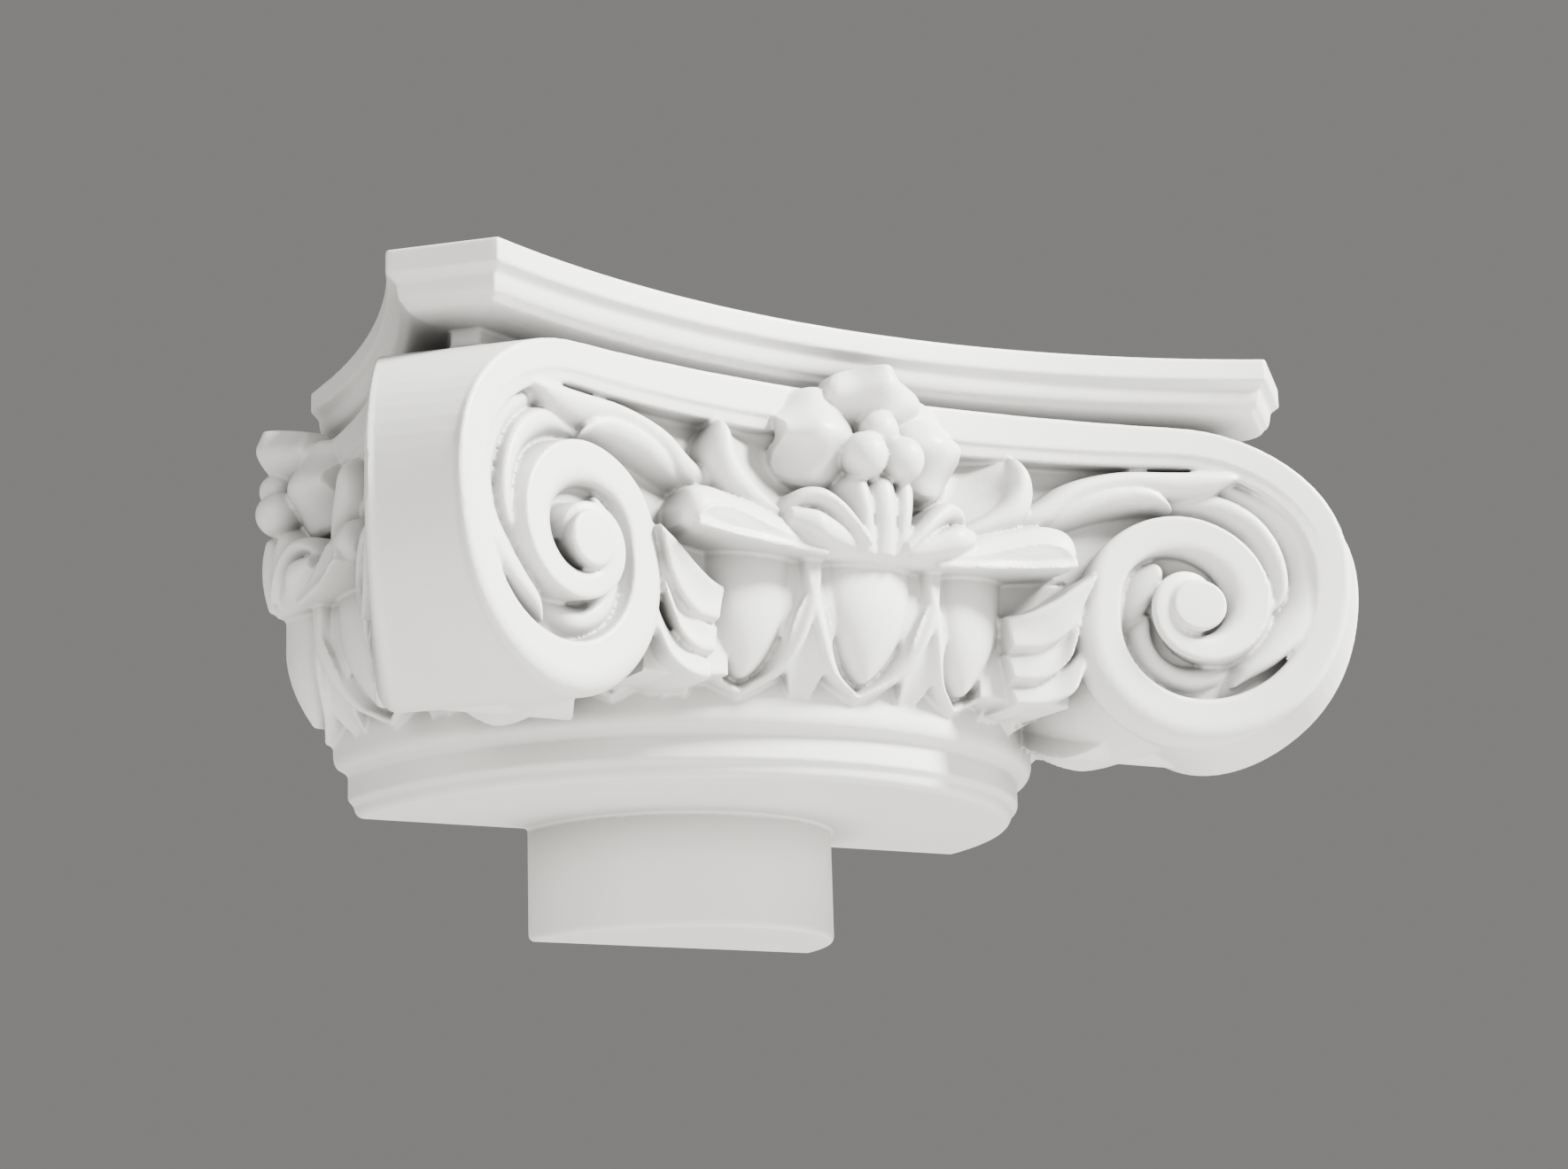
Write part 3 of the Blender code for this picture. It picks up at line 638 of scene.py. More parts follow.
def add_leaf(mesh, rows, root, edge, drop, steps=30, across=16):
    """A leaf between two edges. A row holds x, z and out of one edge, of the other, and the bulge."""
    rings = []
    for ax, az, a_out, bx, bz, b_out, bulge in smooth_rows(rows, steps):
        ring = []
        width = max(math.hypot(bx - ax, bz - az), 0.002)
        rim = min(edge, width / 2)
        for j in range(across + 1):
            share = 0.5 - 0.5 * math.cos(math.pi * j / across)
            lift = bulge * (1 - (2 * share - 1) ** 2)
            inward = min(min(share, 1 - share) * width / rim, 1.0)
            fall = drop * rim / edge * (1 - math.sqrt(1 - (1 - inward) ** 2))
            out = a_out + (b_out - a_out) * share + lift - fall
            ring.append(front_point(ax + (bx - ax) * share, az + (bz - az) * share, out))
        for x, z in ((bx, bz), (ax, az)):
            ring.append(front_point(x, z, min(a_out, b_out) - drop - root))
        rings.append(ring)
    skin(mesh, rings)


# Leaves of the right half of a front: rows of edge a (x, z, out), edge b (x, z, out) and bulge, root to tip
LEAVES = {
    "long leaf under the lip": (
        (0.220, 0.490, -0.030, 0.240, 0.450, -0.040, 0.012),
        (0.370, 0.553, -0.014, 0.400, 0.500, -0.030, 0.020),
        (0.450, 0.602, -0.004, 0.470, 0.550, -0.030, 0.022),
        (0.550, 0.628, -0.002, 0.560, 0.575, -0.030, 0.022),
        (0.650, 0.630, 0.000, 0.660, 0.566, -0.028, 0.022),
        (0.720, 0.630, 0.000, 0.720, 0.574, -0.026, 0.022),
        (0.765, 0.628, -0.002, 0.758, 0.594, -0.020, 0.014),
        (0.784, 0.619, -0.014, 0.780, 0.610, -0.020, 0.004)),
    "second lobe": (
        (0.340, 0.520, -0.036, 0.350, 0.470, -0.048, 0.008),
        (0.460, 0.572, -0.006, 0.450, 0.505, -0.044, 0.018),
        (0.520, 0.592, 0.003, 0.510, 0.526, -0.044, 0.020),
        (0.585, 0.597, 0.006, 0.570, 0.540, -0.042, 0.018),
        (0.628, 0.584, 0.004, 0.615, 0.546, -0.038, 0.014),
        (0.650, 0.562, -0.004, 0.643, 0.546, -0.034, 0.006),
        (0.658, 0.546, -0.018, 0.656, 0.543, -0.030, 0.000)),
    "inner channel leaf": (
        (0.660, 0.592, -0.040, 0.650, 0.545, -0.044, 0.010),
        (0.745, 0.590, -0.030, 0.720, 0.540, -0.038, 0.020),
        (0.805, 0.555, -0.024, 0.778, 0.503, -0.036, 0.024),
        (0.843, 0.500, -0.020, 0.806, 0.457, -0.036, 0.026),
        (0.860, 0.440, -0.018, 0.819, 0.407, -0.036, 0.026),
        (0.860, 0.385, -0.016, 0.818, 0.367, -0.034, 0.022),
        (0.842, 0.348, -0.018, 0.810, 0.342, -0.030, 0.012),
        (0.812, 0.332, -0.024, 0.805, 0.331, -0.030, 0.002)),
    "outer channel leaf": (
        (0.775, 0.615, -0.030, 0.750, 0.590, -0.038, 0.004),
        (0.851, 0.565, -0.020, 0.810, 0.545, -0.038, 0.014),
        (0.901, 0.500, -0.018, 0.845, 0.490, -0.038, 0.018),
        (0.916, 0.430, -0.018, 0.860, 0.430, -0.040, 0.018),
        (0.913, 0.360, -0.018, 0.850, 0.370, -0.040, 0.022),
        (0.893, 0.300, -0.014, 0.818, 0.318, -0.034, 0.026),
        (0.836, 0.240, -0.012, 0.788, 0.276, -0.028, 0.028),
        (0.785, 0.208, -0.016, 0.752, 0.234, -0.024, 0.022),
        (0.752, 0.190, -0.020, 0.748, 0.194, -0.026, 0.006)),
    "bottom leaf": (
        (0.760, 0.252, -0.044, 0.735, 0.190, -0.046, 0.012),
        (0.700, 0.240, -0.034, 0.682, 0.180, -0.036, 0.028),
        (0.655, 0.242, -0.032, 0.625, 0.192, -0.036, 0.028),
        (0.622, 0.266, -0.030, 0.582, 0.224, -0.036, 0.028),
        (0.606, 0.298, -0.024, 0.560, 0.270, -0.036, 0.026),
        (0.606, 0.322, -0.018, 0.562, 0.306, -0.034, 0.020),
        (0.604, 0.338, -0.016, 0.590, 0.336, -0.028, 0.002)),
    "small inner leaf": (
        (0.588, 0.322, -0.040, 0.562, 0.306, -0.046, 0.004),
        (0.600, 0.348, -0.012, 0.550, 0.345, -0.042, 0.012),
        (0.613, 0.378, -0.006, 0.552, 0.388, -0.042, 0.014),
        (0.630, 0.410, -0.006, 0.566, 0.424, -0.042, 0.014),
        (0.630, 0.434, -0.010, 0.592, 0.442, -0.040, 0.010),
        (0.620, 0.448, -0.024, 0.612, 0.450, -0.034, 0.000)),
    "sepal roll": (
        (0.150, 0.470, 0.004, 0.160, 0.435, -0.010, 0.014),
        (0.226, 0.502, 0.020, 0.276, 0.466, -0.004, 0.024),
        (0.280, 0.536, 0.030, 0.340, 0.500, 0.002, 0.028),
        (0.305, 0.576, 0.030, 0.364, 0.545, 0.000, 0.028),
        (0.312, 0.612, 0.026, 0.364, 0.590, -0.002, 0.026),
        (0.320, 0.634, 0.016, 0.346, 0.624, -0.002, 0.014),
        (0.325, 0.643, 0.002, 0.331, 0.641, -0.004, 0.000)),
    "sepal hollow": (
        (0.080, 0.500, -0.010, 0.146, 0.468, -0.014, -0.006),
        (0.101, 0.540, -0.012, 0.229, 0.503, 0.002, -0.018),
        (0.132, 0.580, -0.010, 0.282, 0.536, 0.012, -0.030),
        (0.152, 0.610, -0.014, 0.306, 0.576, 0.012, -0.036),
        (0.172, 0.630, -0.020, 0.312, 0.612, 0.006, -0.036),
        (0.192, 0.642, -0.024, 0.320, 0.642, -0.014, -0.026)),
    "husk leaf": (
        (0.000, 0.440, 0.060, 0.000, 0.386, 0.066, 0.012),
        (0.099, 0.446, 0.046, 0.099, 0.390, 0.056, 0.016),
        (0.188, 0.462, 0.029, 0.188, 0.395, 0.049, 0.024),
        (0.267, 0.484, 0.021, 0.267, 0.399, 0.045, 0.030),
        (0.337, 0.500, 0.021, 0.332, 0.402, 0.043, 0.032),
        (0.386, 0.503, 0.023, 0.381, 0.405, 0.043, 0.030),
        (0.419, 0.490, 0.024, 0.413, 0.408, 0.042, 0.022),
        (0.436, 0.455, 0.014, 0.434, 0.420, 0.024, 0.006)),
    "husk flap": (
        (0.120, 0.414, 0.064, 0.120, 0.390, 0.072, 0.000),
        (0.219, 0.428, 0.071, 0.219, 0.396, 0.071, -0.006),
        (0.293, 0.446, 0.074, 0.288, 0.400, 0.072, -0.014),
        (0.351, 0.455, 0.074, 0.341, 0.403, 0.074, -0.018),
        (0.393, 0.448, 0.073, 0.383, 0.406, 0.075, -0.014),
        (0.420, 0.426, 0.064, 0.416, 0.410, 0.068, -0.002)),
    "curled leaf": (
        (0.035, 0.430, 0.090, 0.045, 0.400, 0.080, 0.012),
        (0.072, 0.468, 0.092, 0.080, 0.430, 0.072, 0.022),
        (0.104, 0.500, 0.086, 0.110, 0.452, 0.062, 0.028),
        (0.140, 0.522, 0.074, 0.142, 0.470, 0.050, 0.030),
        (0.176, 0.516, 0.058, 0.170, 0.474, 0.038, 0.026),
        (0.198, 0.488, 0.040, 0.186, 0.466, 0.026, 0.014),
        (0.194, 0.458, 0.016, 0.188, 0.452, 0.010, 0.000)),
    "curl foot": (
        (0.050, 0.438, 0.076, 0.060, 0.395, 0.070, 0.008),
        (0.105, 0.458, 0.082, 0.115, 0.405, 0.080, 0.012),
        (0.155, 0.474, 0.086, 0.160, 0.418, 0.086, 0.014),
        (0.200, 0.476, 0.066, 0.208, 0.440, 0.064, 0.006)),
    "upper finger": (
        (0.485, 0.415, 0.024, 0.468, 0.372, 0.014, 0.002),
        (0.438, 0.385, 0.026, 0.449, 0.324, 0.010, -0.006),
        (0.397, 0.356, 0.020, 0.423, 0.289, 0.010, -0.010),
        (0.351, 0.334, 0.006, 0.381, 0.262, 0.000, -0.010),
        (0.312, 0.328, -0.012, 0.326, 0.260, -0.014, -0.004)),
    "middle finger": (
        (0.472, 0.379, -0.020, 0.452, 0.284, -0.005, 0.002),
        (0.454, 0.334, -0.012, 0.434, 0.244, 0.003, -0.004),
        (0.426, 0.294, -0.018, 0.411, 0.218, -0.003, -0.008),
        (0.368, 0.260, -0.016, 0.377, 0.200, -0.010, -0.008),
        (0.320, 0.256, -0.032, 0.332, 0.200, -0.026, -0.002)),
    "lower finger": (
        (0.472, 0.299, -0.034, 0.468, 0.219, -0.016, 0.004),
        (0.455, 0.254, -0.026, 0.445, 0.179, -0.008, -0.002),
        (0.424, 0.224, -0.030, 0.409, 0.160, -0.014, -0.006),
        (0.371, 0.198, -0.030, 0.377, 0.152, -0.022, -0.004),
        (0.330, 0.194, -0.044, 0.338, 0.152, -0.034, 0.000)),
    "finger bed": (
        (0.280, 0.410, -0.070, 0.280, 0.170, -0.064, 0.000),
        (0.350, 0.410, -0.066, 0.350, 0.165, -0.064, 0.000),
        (0.410, 0.405, -0.060, 0.410, 0.160, -0.070, 0.000),
        (0.470, 0.400, -0.060, 0.470, 0.160, -0.080, 0.000)),
}
# How far a leaf's root goes in below its edges, where it isn't the usual depth
LEAF_ROOT = 0.06
DEEP_ROOTS = {"finger bed": 0.20, "upper finger": 0.16, "middle finger": 0.16, "lower finger": 0.16,
              "husk leaf": 0.18, "husk flap": 0.10, "curled leaf": 0.14, "curl foot": 0.14,
              "sepal roll": 0.08, "sepal hollow": 0.08}
# How wide a leaf's rounded edge is, where it isn't the usual width, and how far it falls for its width
LEAF_EDGE = 0.016
THIN_RIMS = {"finger bed": 0.004, "husk flap": 0.007, "sepal hollow": 0.004, "upper finger": 0.013,
             "middle finger": 0.013, "lower finger": 0.013}
EDGE_FALL = 1.25


def make_leaves():
    mesh = bmesh.new()
    for name, rows in LEAVES.items():
        edge = THIN_RIMS.get(name, LEAF_EDGE)
        add_leaf(mesh, rows, DEEP_ROOTS.get(name, LEAF_ROOT), edge, edge * EDGE_FALL)
    return new_object("leaves", mesh)


# Flower

def add_ball(mesh, x, z, out, across, up, proud, steps=20):
    """A rounded bud."""
    rings = []
    for i in range(1, steps):
        polar = math.pi * i / steps
        ring = []
        for j in range(steps):
            turn = 2 * math.pi * j / steps
            dx = across * math.sin(polar) * math.cos(turn)
            dz = up * math.sin(polar) * math.sin(turn)
            ring.append(front_point(x + dx, z + dz, out - proud * math.cos(polar)))
        rings.append(ring)
    skin(mesh, rings)


# A petal's widest place and taper as shares of its length, its edge's fall, its crown and its thickness
PETAL_WIDEST = 0.55
PETAL_TAPER = 0.66
PETAL_FALL = 0.046
PETAL_CROWN = 0.014
PETAL_THICK = 0.05


def petal_width(t):
    """Share of a petal's half width at a share t of its length."""
    if t > PETAL_WIDEST:
        return math.sqrt(1 - ((t - PETAL_WIDEST) / PETAL_TAPER) ** 2)
    return 0.5 + 0.5 * t / PETAL_WIDEST


def add_petal(mesh, centre, angle, length, half_width, outs, ruffle, notch):
    """A petal from the flower's centre outwards: outs are its heights from root to tip."""
    along = (math.cos(angle), math.sin(angle))
    side = (-along[1], along[0])
    rings = []
    for i in range(21):
        t = 1.0 - (1.0 - i / 20) ** 1.5
        out = smooth_at(outs, t * (len(outs) - 1))
        half = half_width * petal_width(t)
        front = []
        back = []
        for j in range(21):
            u = j / 10 - 1
            reach = length * t * (1 - 0.10 * u * u * t) * (1 - notch * math.exp(-(u / 0.30) ** 2) * t)
            x = centre[0] + along[0] * reach + side[0] * half * u
            z = centre[1] + along[1] * reach + side[1] * half * u
            edge_fall = PETAL_FALL * (1 - math.sqrt(max(1 - (0.98 * u) ** 4, 0.0)))
            height = out - edge_fall - PETAL_CROWN * u * u + ruffle * t * math.cos(1.5 * math.pi * u)
            front.append(front_point(x, z, height))
            back.append(front_point(x, z, height - PETAL_THICK - PETAL_THICK * (1 - t)))
        rings.append(front + back[::-1])
    skin(mesh, rings)


PETALS = (
    # angle in degrees, length, half width, heights from root to tip, ruffle, notch
    (88, 0.148, 0.104, (0.010, 0.070, 0.098, 0.078), 0.024, 0.02),
    (2, 0.206, 0.102, (0.006, 0.060, 0.066, 0.020), 0.026, 0.06),
    (178, 0.206, 0.102, (0.006, 0.060, 0.066, 0.020), 0.026, 0.06),
)
FLOWER_CENTRE = (0.0, 0.628)
# Buds: x, z and out of the middle, then half sizes across, up and outwards
BUDS = (
    (-0.040, 0.592, 0.074, 0.045, 0.047, 0.052),
    (0.040, 0.592, 0.074, 0.045, 0.047, 0.052),
    (0.000, 0.648, 0.064, 0.040, 0.040, 0.042),
)
# The cup: its foot and top, half width at the foot and what the top adds, and how far out it stands
CUP_LOBES = 3
CUP_LOW = 0.400
CUP_HIGH = 0.566
CUP_HALF_WIDTH = 0.060
CUP_SPREAD = 0.030
CUP_PROUD = 0.062
CUP_SWELL = 0.036
CUP_GROOVE = 0.034
CUP_ROOT = -0.09
# Share of the height where the lobes start to round over, and how far they fall there
CUP_SHOULDER = 0.86
CUP_FALL = 0.034


def add_cup(mesh):
    """The ridged cup under the buds: upright lobes side by side with rounded tops, drawn in at the foot."""
    rings = []
    for i in range(33):
        t = i / 32
        half = CUP_HALF_WIDTH + CUP_SPREAD * t
        swell = math.sin(math.pi * (0.18 + 0.62 * t))
        ring = []
        for j in range(81):
            u = j / 40 - 1
            lobe = abs(math.sin(CUP_LOBES * math.pi / 2 * (u + 1)))
            round_off = math.sqrt(max(1 - (0.96 * u) ** 4, 0.0))
            groove = CUP_GROOVE * (lobe ** 0.4 - 1) * min(1.0, 0.3 + 2 * t)
            out = (CUP_PROUD + CUP_SWELL * swell) * round_off + groove
            top = CUP_HIGH - 0.020 * (1 - lobe ** 0.6) - 0.012 * u * u
            z = CUP_LOW + (top - CUP_LOW) * t
            if t > CUP_SHOULDER:
                out -= CUP_FALL * ((t - CUP_SHOULDER) / (1 - CUP_SHOULDER)) ** 2
            ring.append(front_point(u * half, z, out))
        side_top = CUP_LOW + (CUP_HIGH - 0.03 - CUP_LOW) * t
        ring += [front_point(half, side_top, CUP_ROOT), front_point(-half, side_top, CUP_ROOT)]
        rings.append(ring)
    skin(mesh, rings)


def make_flower():
    mesh = bmesh.new()
    for degrees, length, half_width, outs, ruffle, notch in PETALS:
        add_petal(mesh, FLOWER_CENTRE, math.radians(degrees), length, half_width, outs, ruffle, notch)
    for bud in BUDS:
        add_ball(mesh, *bud)
    add_cup(mesh)
    return new_object("flower", mesh)


# Steps that make the carved forms

class CAPITAL_OT_neck(bpy.types.Operator):
    """Spin the plug, seat and drums"""
    bl_idname = "capital.neck"
    bl_label = "Neck and plug"

    def execute(self, context):
        make_neck()
        return {"FINISHED"}


class CAPITAL_OT_abacus(bpy.types.Operator):
    """Build the hollow-sided abacus"""
    bl_idname = "capital.abacus"
    bl_label = "Abacus"

    def execute(self, context):
        make_abacus()
        return {"FINISHED"}


class CAPITAL_OT_eggs(bpy.types.Operator):
    """Model one egg with its rim and dart, and copy them round the neck"""
    bl_idname = "capital.eggs"
    bl_label = "Egg row"

    def execute(self, context):
        count = sizes().eggs_around
        reach = count // 4 + 1
        places = [Matrix.Rotation(i * 2 * math.pi / count, 4, "Z") for i in range(-reach, reach + 1)]
        for made in (make_egg(), make_rim(), make_dart()):
            placed_copies(made, places)
        return {"FINISHED"}


class CAPITAL_OT_scrolls(bpy.types.Operator):
    """Model one corner's scrolls, and the body they stand on"""
    bl_idname = "capital.scrolls"
    bl_label = "Scrolls and body"

    def execute(self, context):
        placed_copies(make_scroll(), half_front_places()[:2])
        make_core()
        placed_copies(make_lip_middle(), front_and_sides())
        return {"FINISHED"}


class CAPITAL_OT_leaves(bpy.types.Operator):
    """Model half a front's leaves and mirror them to the other half fronts"""
    bl_idname = "capital.leaves"
    bl_label = "Leaves"

    def execute(self, context):
        placed_copies(make_leaves(), half_front_places())
        return {"FINISHED"}


class CAPITAL_OT_flowers(bpy.types.Operator):
    """Model the flower and turn it to the side faces"""
    bl_idname = "capital.flowers"
    bl_label = "Flowers"

    def execute(self, context):
        placed_copies(make_flower(), front_and_sides())
        return {"FINISHED"}


# Casting

def cut_at_wall(made, y):
    """Cuts off everything behind the wall plane at y and closes the cut with flat triangles."""
    mesh = bmesh.new()
    mesh.from_mesh(made.data)
    everything = mesh.verts[:] + mesh.edges[:] + mesh.faces[:]
    cut = bmesh.ops.bisect_plane(mesh, geom=everything, dist=1e-7, plane_co=(0, y, 0), plane_no=(0, 1, 0),
                                 clear_outer=True)
    edges = [item for item in cut["geom_cut"] if isinstance(item, bmesh.types.BMEdge)]
    bmesh.ops.triangle_fill(mesh, edges=edges, use_beauty=True)
    bmesh.ops.recalc_face_normals(mesh, faces=mesh.faces[:])
    mesh.to_mesh(made.data)
    mesh.free()


# The carved forms that are cast together, by the names of their objects
BLANKS = ("neck", "abacus", "egg", "rim", "dart", "scroll", "core", "lip_middle", "leaves", "flower")
# Edges sharper than this stay crisp in the shading
CRISP_EDGE = math.radians(40)


class CAPITAL_OT_cast(bpy.types.Operator):
    """Fuse every carved form into one skin, soften it, cut it flat at the wall and thin it"""
    bl_idname = "capital.cast"
    bl_label = "Cast as one piece"

    def execute(self, context):
        casting = context.scene.capital_casting
        carved = [o for o in context.scene.objects if o.type == "MESH" and o.name.split(".")[0] in BLANKS]
        if not carved:
            raise RuntimeError("there is nothing to cast")
        select_only(*carved)
        bpy.ops.object.join()
        made = context.view_layer.objects.active
        made.name = "capital_casting"
        made.data.name = made.name
        apply_modifier(made, "REMESH", mode="VOXEL", voxel_size=casting.grain, adaptivity=0.0)
        cut_at_wall(made, casting.wall_margin)
        keep_front_skin(made)
        apply_modifier(made, "SMOOTH", factor=0.5, iterations=casting.softening)
        keep_inside(made, casting.wall_margin)
        cut_at_wall(made, 0.0)
        faces = sum(len(face.vertices) - 2 for face in made.data.polygons)
        kept_share = min(1.0, casting.triangles / faces)
        apply_modifier(made, "DECIMATE", ratio=kept_share, use_collapse_triangulate=True)
        keep_inside(made, 0.0)
        select_only(made)
        bpy.ops.object.shade_smooth_by_angle(angle=CRISP_EDGE)
        apply_modifier(made, "WEIGHTED_NORMAL", keep_sharp=True)
        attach(made, BODY)
        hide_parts(NODE)
        return {"FINISHED"}


def keep_front_skin(made):
    """Leaves only the skin that holds the foremost point, so that no loose crumb or sealed bubble stays."""
    foremost = min(made.data.vertices, key=lambda vert: vert.co.y).index
    select_only(made)
    bpy.ops.object.mode_set(mode="EDIT")
    bpy.ops.mesh.select_mode(type="VERT")
    bpy.ops.mesh.select_all(action="DESELECT")
    bpy.ops.object.mode_set(mode="OBJECT")
    made.data.vertices[foremost].select = True
    bpy.ops.object.mode_set(mode="EDIT")
    bpy.ops.mesh.select_linked()
    bpy.ops.mesh.select_all(action="INVERT")
    bpy.ops.mesh.delete(type="VERT")
    bpy.ops.object.mode_set(mode="OBJECT")


def keep_inside(made, margin):
    """Holds every point inside the box of the solid it stands for, and the margin past the wall plane."""
    count = len(made.data.vertices)
    places = np.empty(count * 3, dtype=np.float32)
    made.data.vertices.foreach_get("co", places)
    places = places.reshape(count, 3)
    high = np.array((NODE_HIGH[0], NODE_HIGH[1] + margin, NODE_HIGH[2]), dtype=np.float32)
    places = np.clip(places, np.array(NODE_LOW, dtype=np.float32), high)
    made.data.vertices.foreach_set("co", places.ravel())
    made.data.update()


# Finish

def linear(hex_colour):
    """An sRGB hex colour as linear red, green, blue and alpha."""
    parts = [int(hex_colour[i:i + 2], 16) / 255 for i in (1, 3, 5)]
    return [c / 12.92 if c <= 0.04045 else ((c + 0.055) / 1.055) ** 2.4 for c in parts] + [1.0]


def add_node(tree, kind, settings=(), links=()):
    """Adds a shader node, sets its values and links its inputs from other nodes' outputs."""
    node = tree.nodes.new(kind)
    for key, value in dict(settings).items():
        if isinstance(key, str) and hasattr(node, key):
            setattr(node, key, value)
        else:
            node.inputs[key].default_value = value
    for key, source in dict(links).items():
        tree.links.new(source, node.inputs[key])
    return node


class CAPITAL_OT_finish(bpy.types.Operator):
    """Paint the casting with its factory primer and with painted shade in its creases"""
    bl_idname = "capital.finish"
    bl_label = "Primer finish"

    def execute(self, context):
        casting = context.scene.capital_casting
        made = bpy.data.objects["capital_casting"]
        made.data.materials.clear()
        made.data.materials.append(primed_polyurethane(casting))
        return {"FINISHED"}


# The coat lies thinner in soft clouds about 45 mm wide. The real spray grain is too fine to show, so it is
# drawn 1.1 mm coarse, with bumps less than 0.1 mm deep.
CLOUD_SIZE = 0.045
SPRAY_SIZE = 0.0011
SPRAY_DEPTH = 0.00008
# Painted shade darkens a place by how little of the air within this distance is open, so that creases and
# recesses look shaded
NOOK_REACH = 0.026
NOOK_CLOSED = 0.18
NOOK_OPEN = 0.90


def primed_polyurethane(casting):
    """Rigid polyurethane casting under a sprayed white primer: even and chalky, with a low satin sheen, and
    with painted shade darkening its creases.
    """
    material = bpy.data.materials.new("primed_cast_polyurethane")
    material.use_nodes = True
    tree = material.node_tree
    shader = tree.nodes["Principled BSDF"]
    place = add_node(tree, "ShaderNodeTexCoord").outputs["Object"]
    cloud = add_node(tree, "ShaderNodeTexNoise", {"Scale": 1 / CLOUD_SIZE, "Detail": 3.0}, {"Vector": place})
    spray = add_node(tree, "ShaderNodeTexNoise", {"Scale": 1 / SPRAY_SIZE, "Detail": 2.0}, {"Vector": place})
    colour = add_node(tree, "ShaderNodeMix",
                      {"data_type": "RGBA", 6: linear(casting.shade), 7: linear(casting.paint)},
                      {0: cloud.outputs["Fac"]})
    # Painted shade: ambient occlusion mixes the colour towards the dark shade tone in creases and recesses,
    # where shade falls.
    shade_occlusion = add_node(tree, "ShaderNodeAmbientOcclusion",
                    {"samples": 8, "only_local": True, "Distance": NOOK_REACH})
    open_air = add_node(tree, "ShaderNodeMapRange", {"From Min": NOOK_CLOSED, "From Max": NOOK_OPEN},
                        {"Value": shade_occlusion.outputs["AO"]})
    painted_shade_colour = add_node(tree, "ShaderNodeMix", {"data_type": "RGBA", 6: linear(casting.painted_crease_shade)},
                     {0: open_air.outputs["Result"], 7: colour.outputs[2]})
    tree.links.new(painted_shade_colour.outputs[2], shader.inputs["Base Color"])
    rough = add_node(tree, "ShaderNodeMapRange",
                     {"To Min": casting.gloss - 0.04, "To Max": casting.gloss + 0.06},
                     {"Value": spray.outputs["Fac"]})
    tree.links.new(rough.outputs["Result"], shader.inputs["Roughness"])
    bump = add_node(tree, "ShaderNodeBump", {"Strength": 0.12, "Distance": SPRAY_DEPTH},
                    {"Height": spray.outputs["Fac"]})
    tree.links.new(bump.outputs["Normal"], shader.inputs["Normal"])
    shader.inputs["IOR"].default_value = 1.50
    return material


def plain_material(name, colour, roughness):
    material = bpy.data.materials.new(name)
    material.use_nodes = True
    shader = material.node_tree.nodes["Principled BSDF"]
    shader.inputs["Base Color"].default_value = linear(colour)
    shader.inputs["Roughness"].default_value = roughness
    return material


# Studio

class CapitalStudio(bpy.types.PropertyGroup):
    """Camera and light."""
    camera_place: FloatVectorProperty(name="Camera", default=(-0.51927, -0.98180, -0.17859), unit="LENGTH",
                                      description="Where the camera stands", precision=4)
    camera_turn: FloatProperty(name="Turn", default=math.radians(30.07), unit="ROTATION",
                               description="How far the camera stands to the left of straight on")
    camera_tilt: FloatProperty(name="Tilt", default=math.radians(13.67), unit="ROTATION",
                               description="How far the camera looks up")
    camera_roll: FloatProperty(name="Roll", default=math.radians(-1.70), unit="ROTATION",
                               description="How far the camera leans")
    lens: FloatProperty(name="Lens", default=72.35, description="Focal length in mm over a 36 mm wide image")
    backdrop: StringProperty(name="Backdrop", default="#838280",
                             description="Colour of the plain surroundings")
    floor_colour: StringProperty(name="Floor", default="#C9C8C5", description="Colour of the pale floor")
    floor_height: FloatProperty(name="Floor height", default=-0.45, unit="LENGTH",
                                description="The capital hangs on its wall plane well above the floor")


def camera_matrix(studio):
    turn = studio.camera_turn
    tilt = studio.camera_tilt
    roll = studio.camera_roll
    ahead = Vector((math.sin(turn) * math.cos(tilt), math.cos(turn) * math.cos(tilt), math.sin(tilt)))
    right = Vector((math.cos(turn), -math.sin(turn), 0.0))
    up = right.cross(ahead)
    rolled_right = math.cos(roll) * right + math.sin(roll) * up
    rolled_up = math.cos(roll) * up - math.sin(roll) * right
    matrix = Matrix((rolled_right, rolled_up, -ahead)).transposed().to_4x4()
    matrix.translation = Vector(studio.camera_place)
    return matrix


# The square floor's side, where the lights point, and each light's name, place, size and power in watts
FLOOR_SIZE = 8
AIM = Vector((0, -0.08, 0.07))
LIGHTS = (
    ("key", (1.2, -1.5, 1.5), 0.6, 345.0),
    ("side", (-2.0, -1.4, 0.6), 1.2, 28.0),
    ("under", (0.3, -1.2, -0.42), 0.8, 4.0),
)


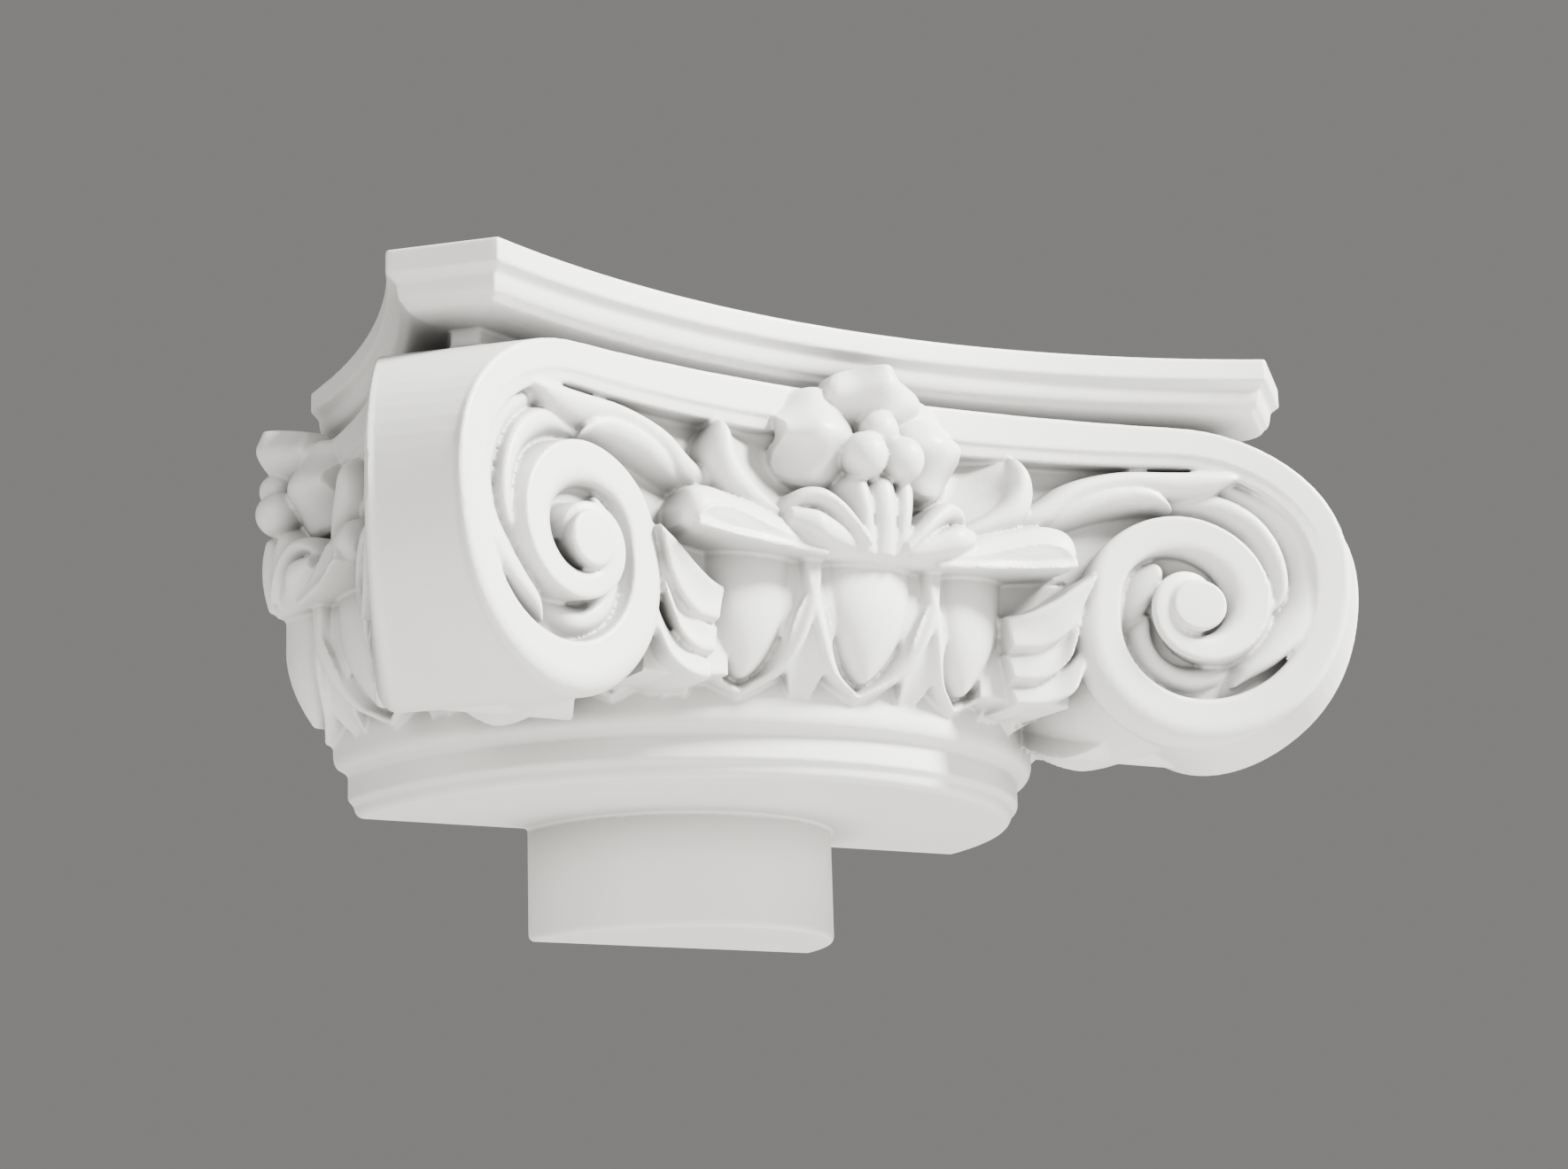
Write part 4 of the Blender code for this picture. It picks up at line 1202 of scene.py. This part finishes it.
class CAPITAL_OT_studio(bpy.types.Operator):
    """Set the floor, the lights and the camera"""
    bl_idname = "capital.studio"
    bl_label = "Studio"

    def execute(self, context):
        studio = context.scene.capital_studio
        scene = context.scene
        select_only(scene.objects[0])
        bpy.ops.mesh.primitive_plane_add(size=FLOOR_SIZE, location=(0, 0, studio.floor_height))
        floor = context.active_object
        floor.name = "floor"
        floor.data.materials.append(plain_material("pale_floor", studio.floor_colour, 0.8))
        for name, place, size, power in LIGHTS:
            bpy.ops.object.light_add(type="AREA", location=place)
            light = context.active_object
            light.name = name
            light.data.shape = "DISK"
            light.data.size = size
            light.data.energy = power
            light.rotation_euler = (AIM - Vector(place)).to_track_quat("-Z", "Y").to_euler()
        world = bpy.data.worlds.new("studio")
        world.use_nodes = True
        world.node_tree.nodes["Background"].inputs["Color"].default_value = linear(studio.backdrop)
        world.node_tree.nodes["Background"].inputs["Strength"].default_value = 1.0
        scene.world = world
        bpy.ops.object.camera_add()
        camera = context.active_object
        camera.name = "camera"
        camera.matrix_world = camera_matrix(studio)
        camera.data.sensor_width = 36.0
        camera.data.sensor_fit = "HORIZONTAL"
        camera.data.lens = studio.lens
        camera.data.clip_start = 0.05
        scene.camera = camera
        return {"FINISHED"}


# Add-on

class CAPITAL_PT_panel(bpy.types.Panel):
    """Lists the sizes and the steps"""
    bl_idname = "CAPITAL_PT_panel"
    bl_label = "Cast capital"
    bl_space_type = "VIEW_3D"
    bl_region_type = "UI"
    bl_category = "Capital"

    def draw(self, context):
        for group in ("capital_sizes", "capital_casting", "capital_studio"):
            settings = getattr(context.scene, group)
            box = self.layout.box()
            for key in settings.__annotations__:
                box.prop(settings, key)
        for step in STEPS:
            self.layout.operator(step.bl_idname)


STEPS = (CAPITAL_OT_neck, CAPITAL_OT_abacus, CAPITAL_OT_eggs, CAPITAL_OT_scrolls, CAPITAL_OT_leaves,
         CAPITAL_OT_flowers, CAPITAL_OT_cast, CAPITAL_OT_finish, CAPITAL_OT_studio)
GROUPS = (CapitalSizes, CapitalCasting, CapitalStudio)


def register():
    for item in GROUPS + STEPS + (CAPITAL_PT_panel,):
        bpy.utils.register_class(item)
    bpy.types.Scene.capital_sizes = PointerProperty(type=CapitalSizes)
    bpy.types.Scene.capital_casting = PointerProperty(type=CapitalCasting)
    bpy.types.Scene.capital_studio = PointerProperty(type=CapitalStudio)


def unregister():
    del bpy.types.Scene.capital_studio
    del bpy.types.Scene.capital_casting
    del bpy.types.Scene.capital_sizes
    for item in reversed(GROUPS + STEPS + (CAPITAL_PT_panel,)):
        bpy.utils.unregister_class(item)


def main():
    register()
    for step in STEPS:
        group, name = step.bl_idname.split(".")
        getattr(getattr(bpy.ops, group), name)()


if __name__ == "__main__":
    main()
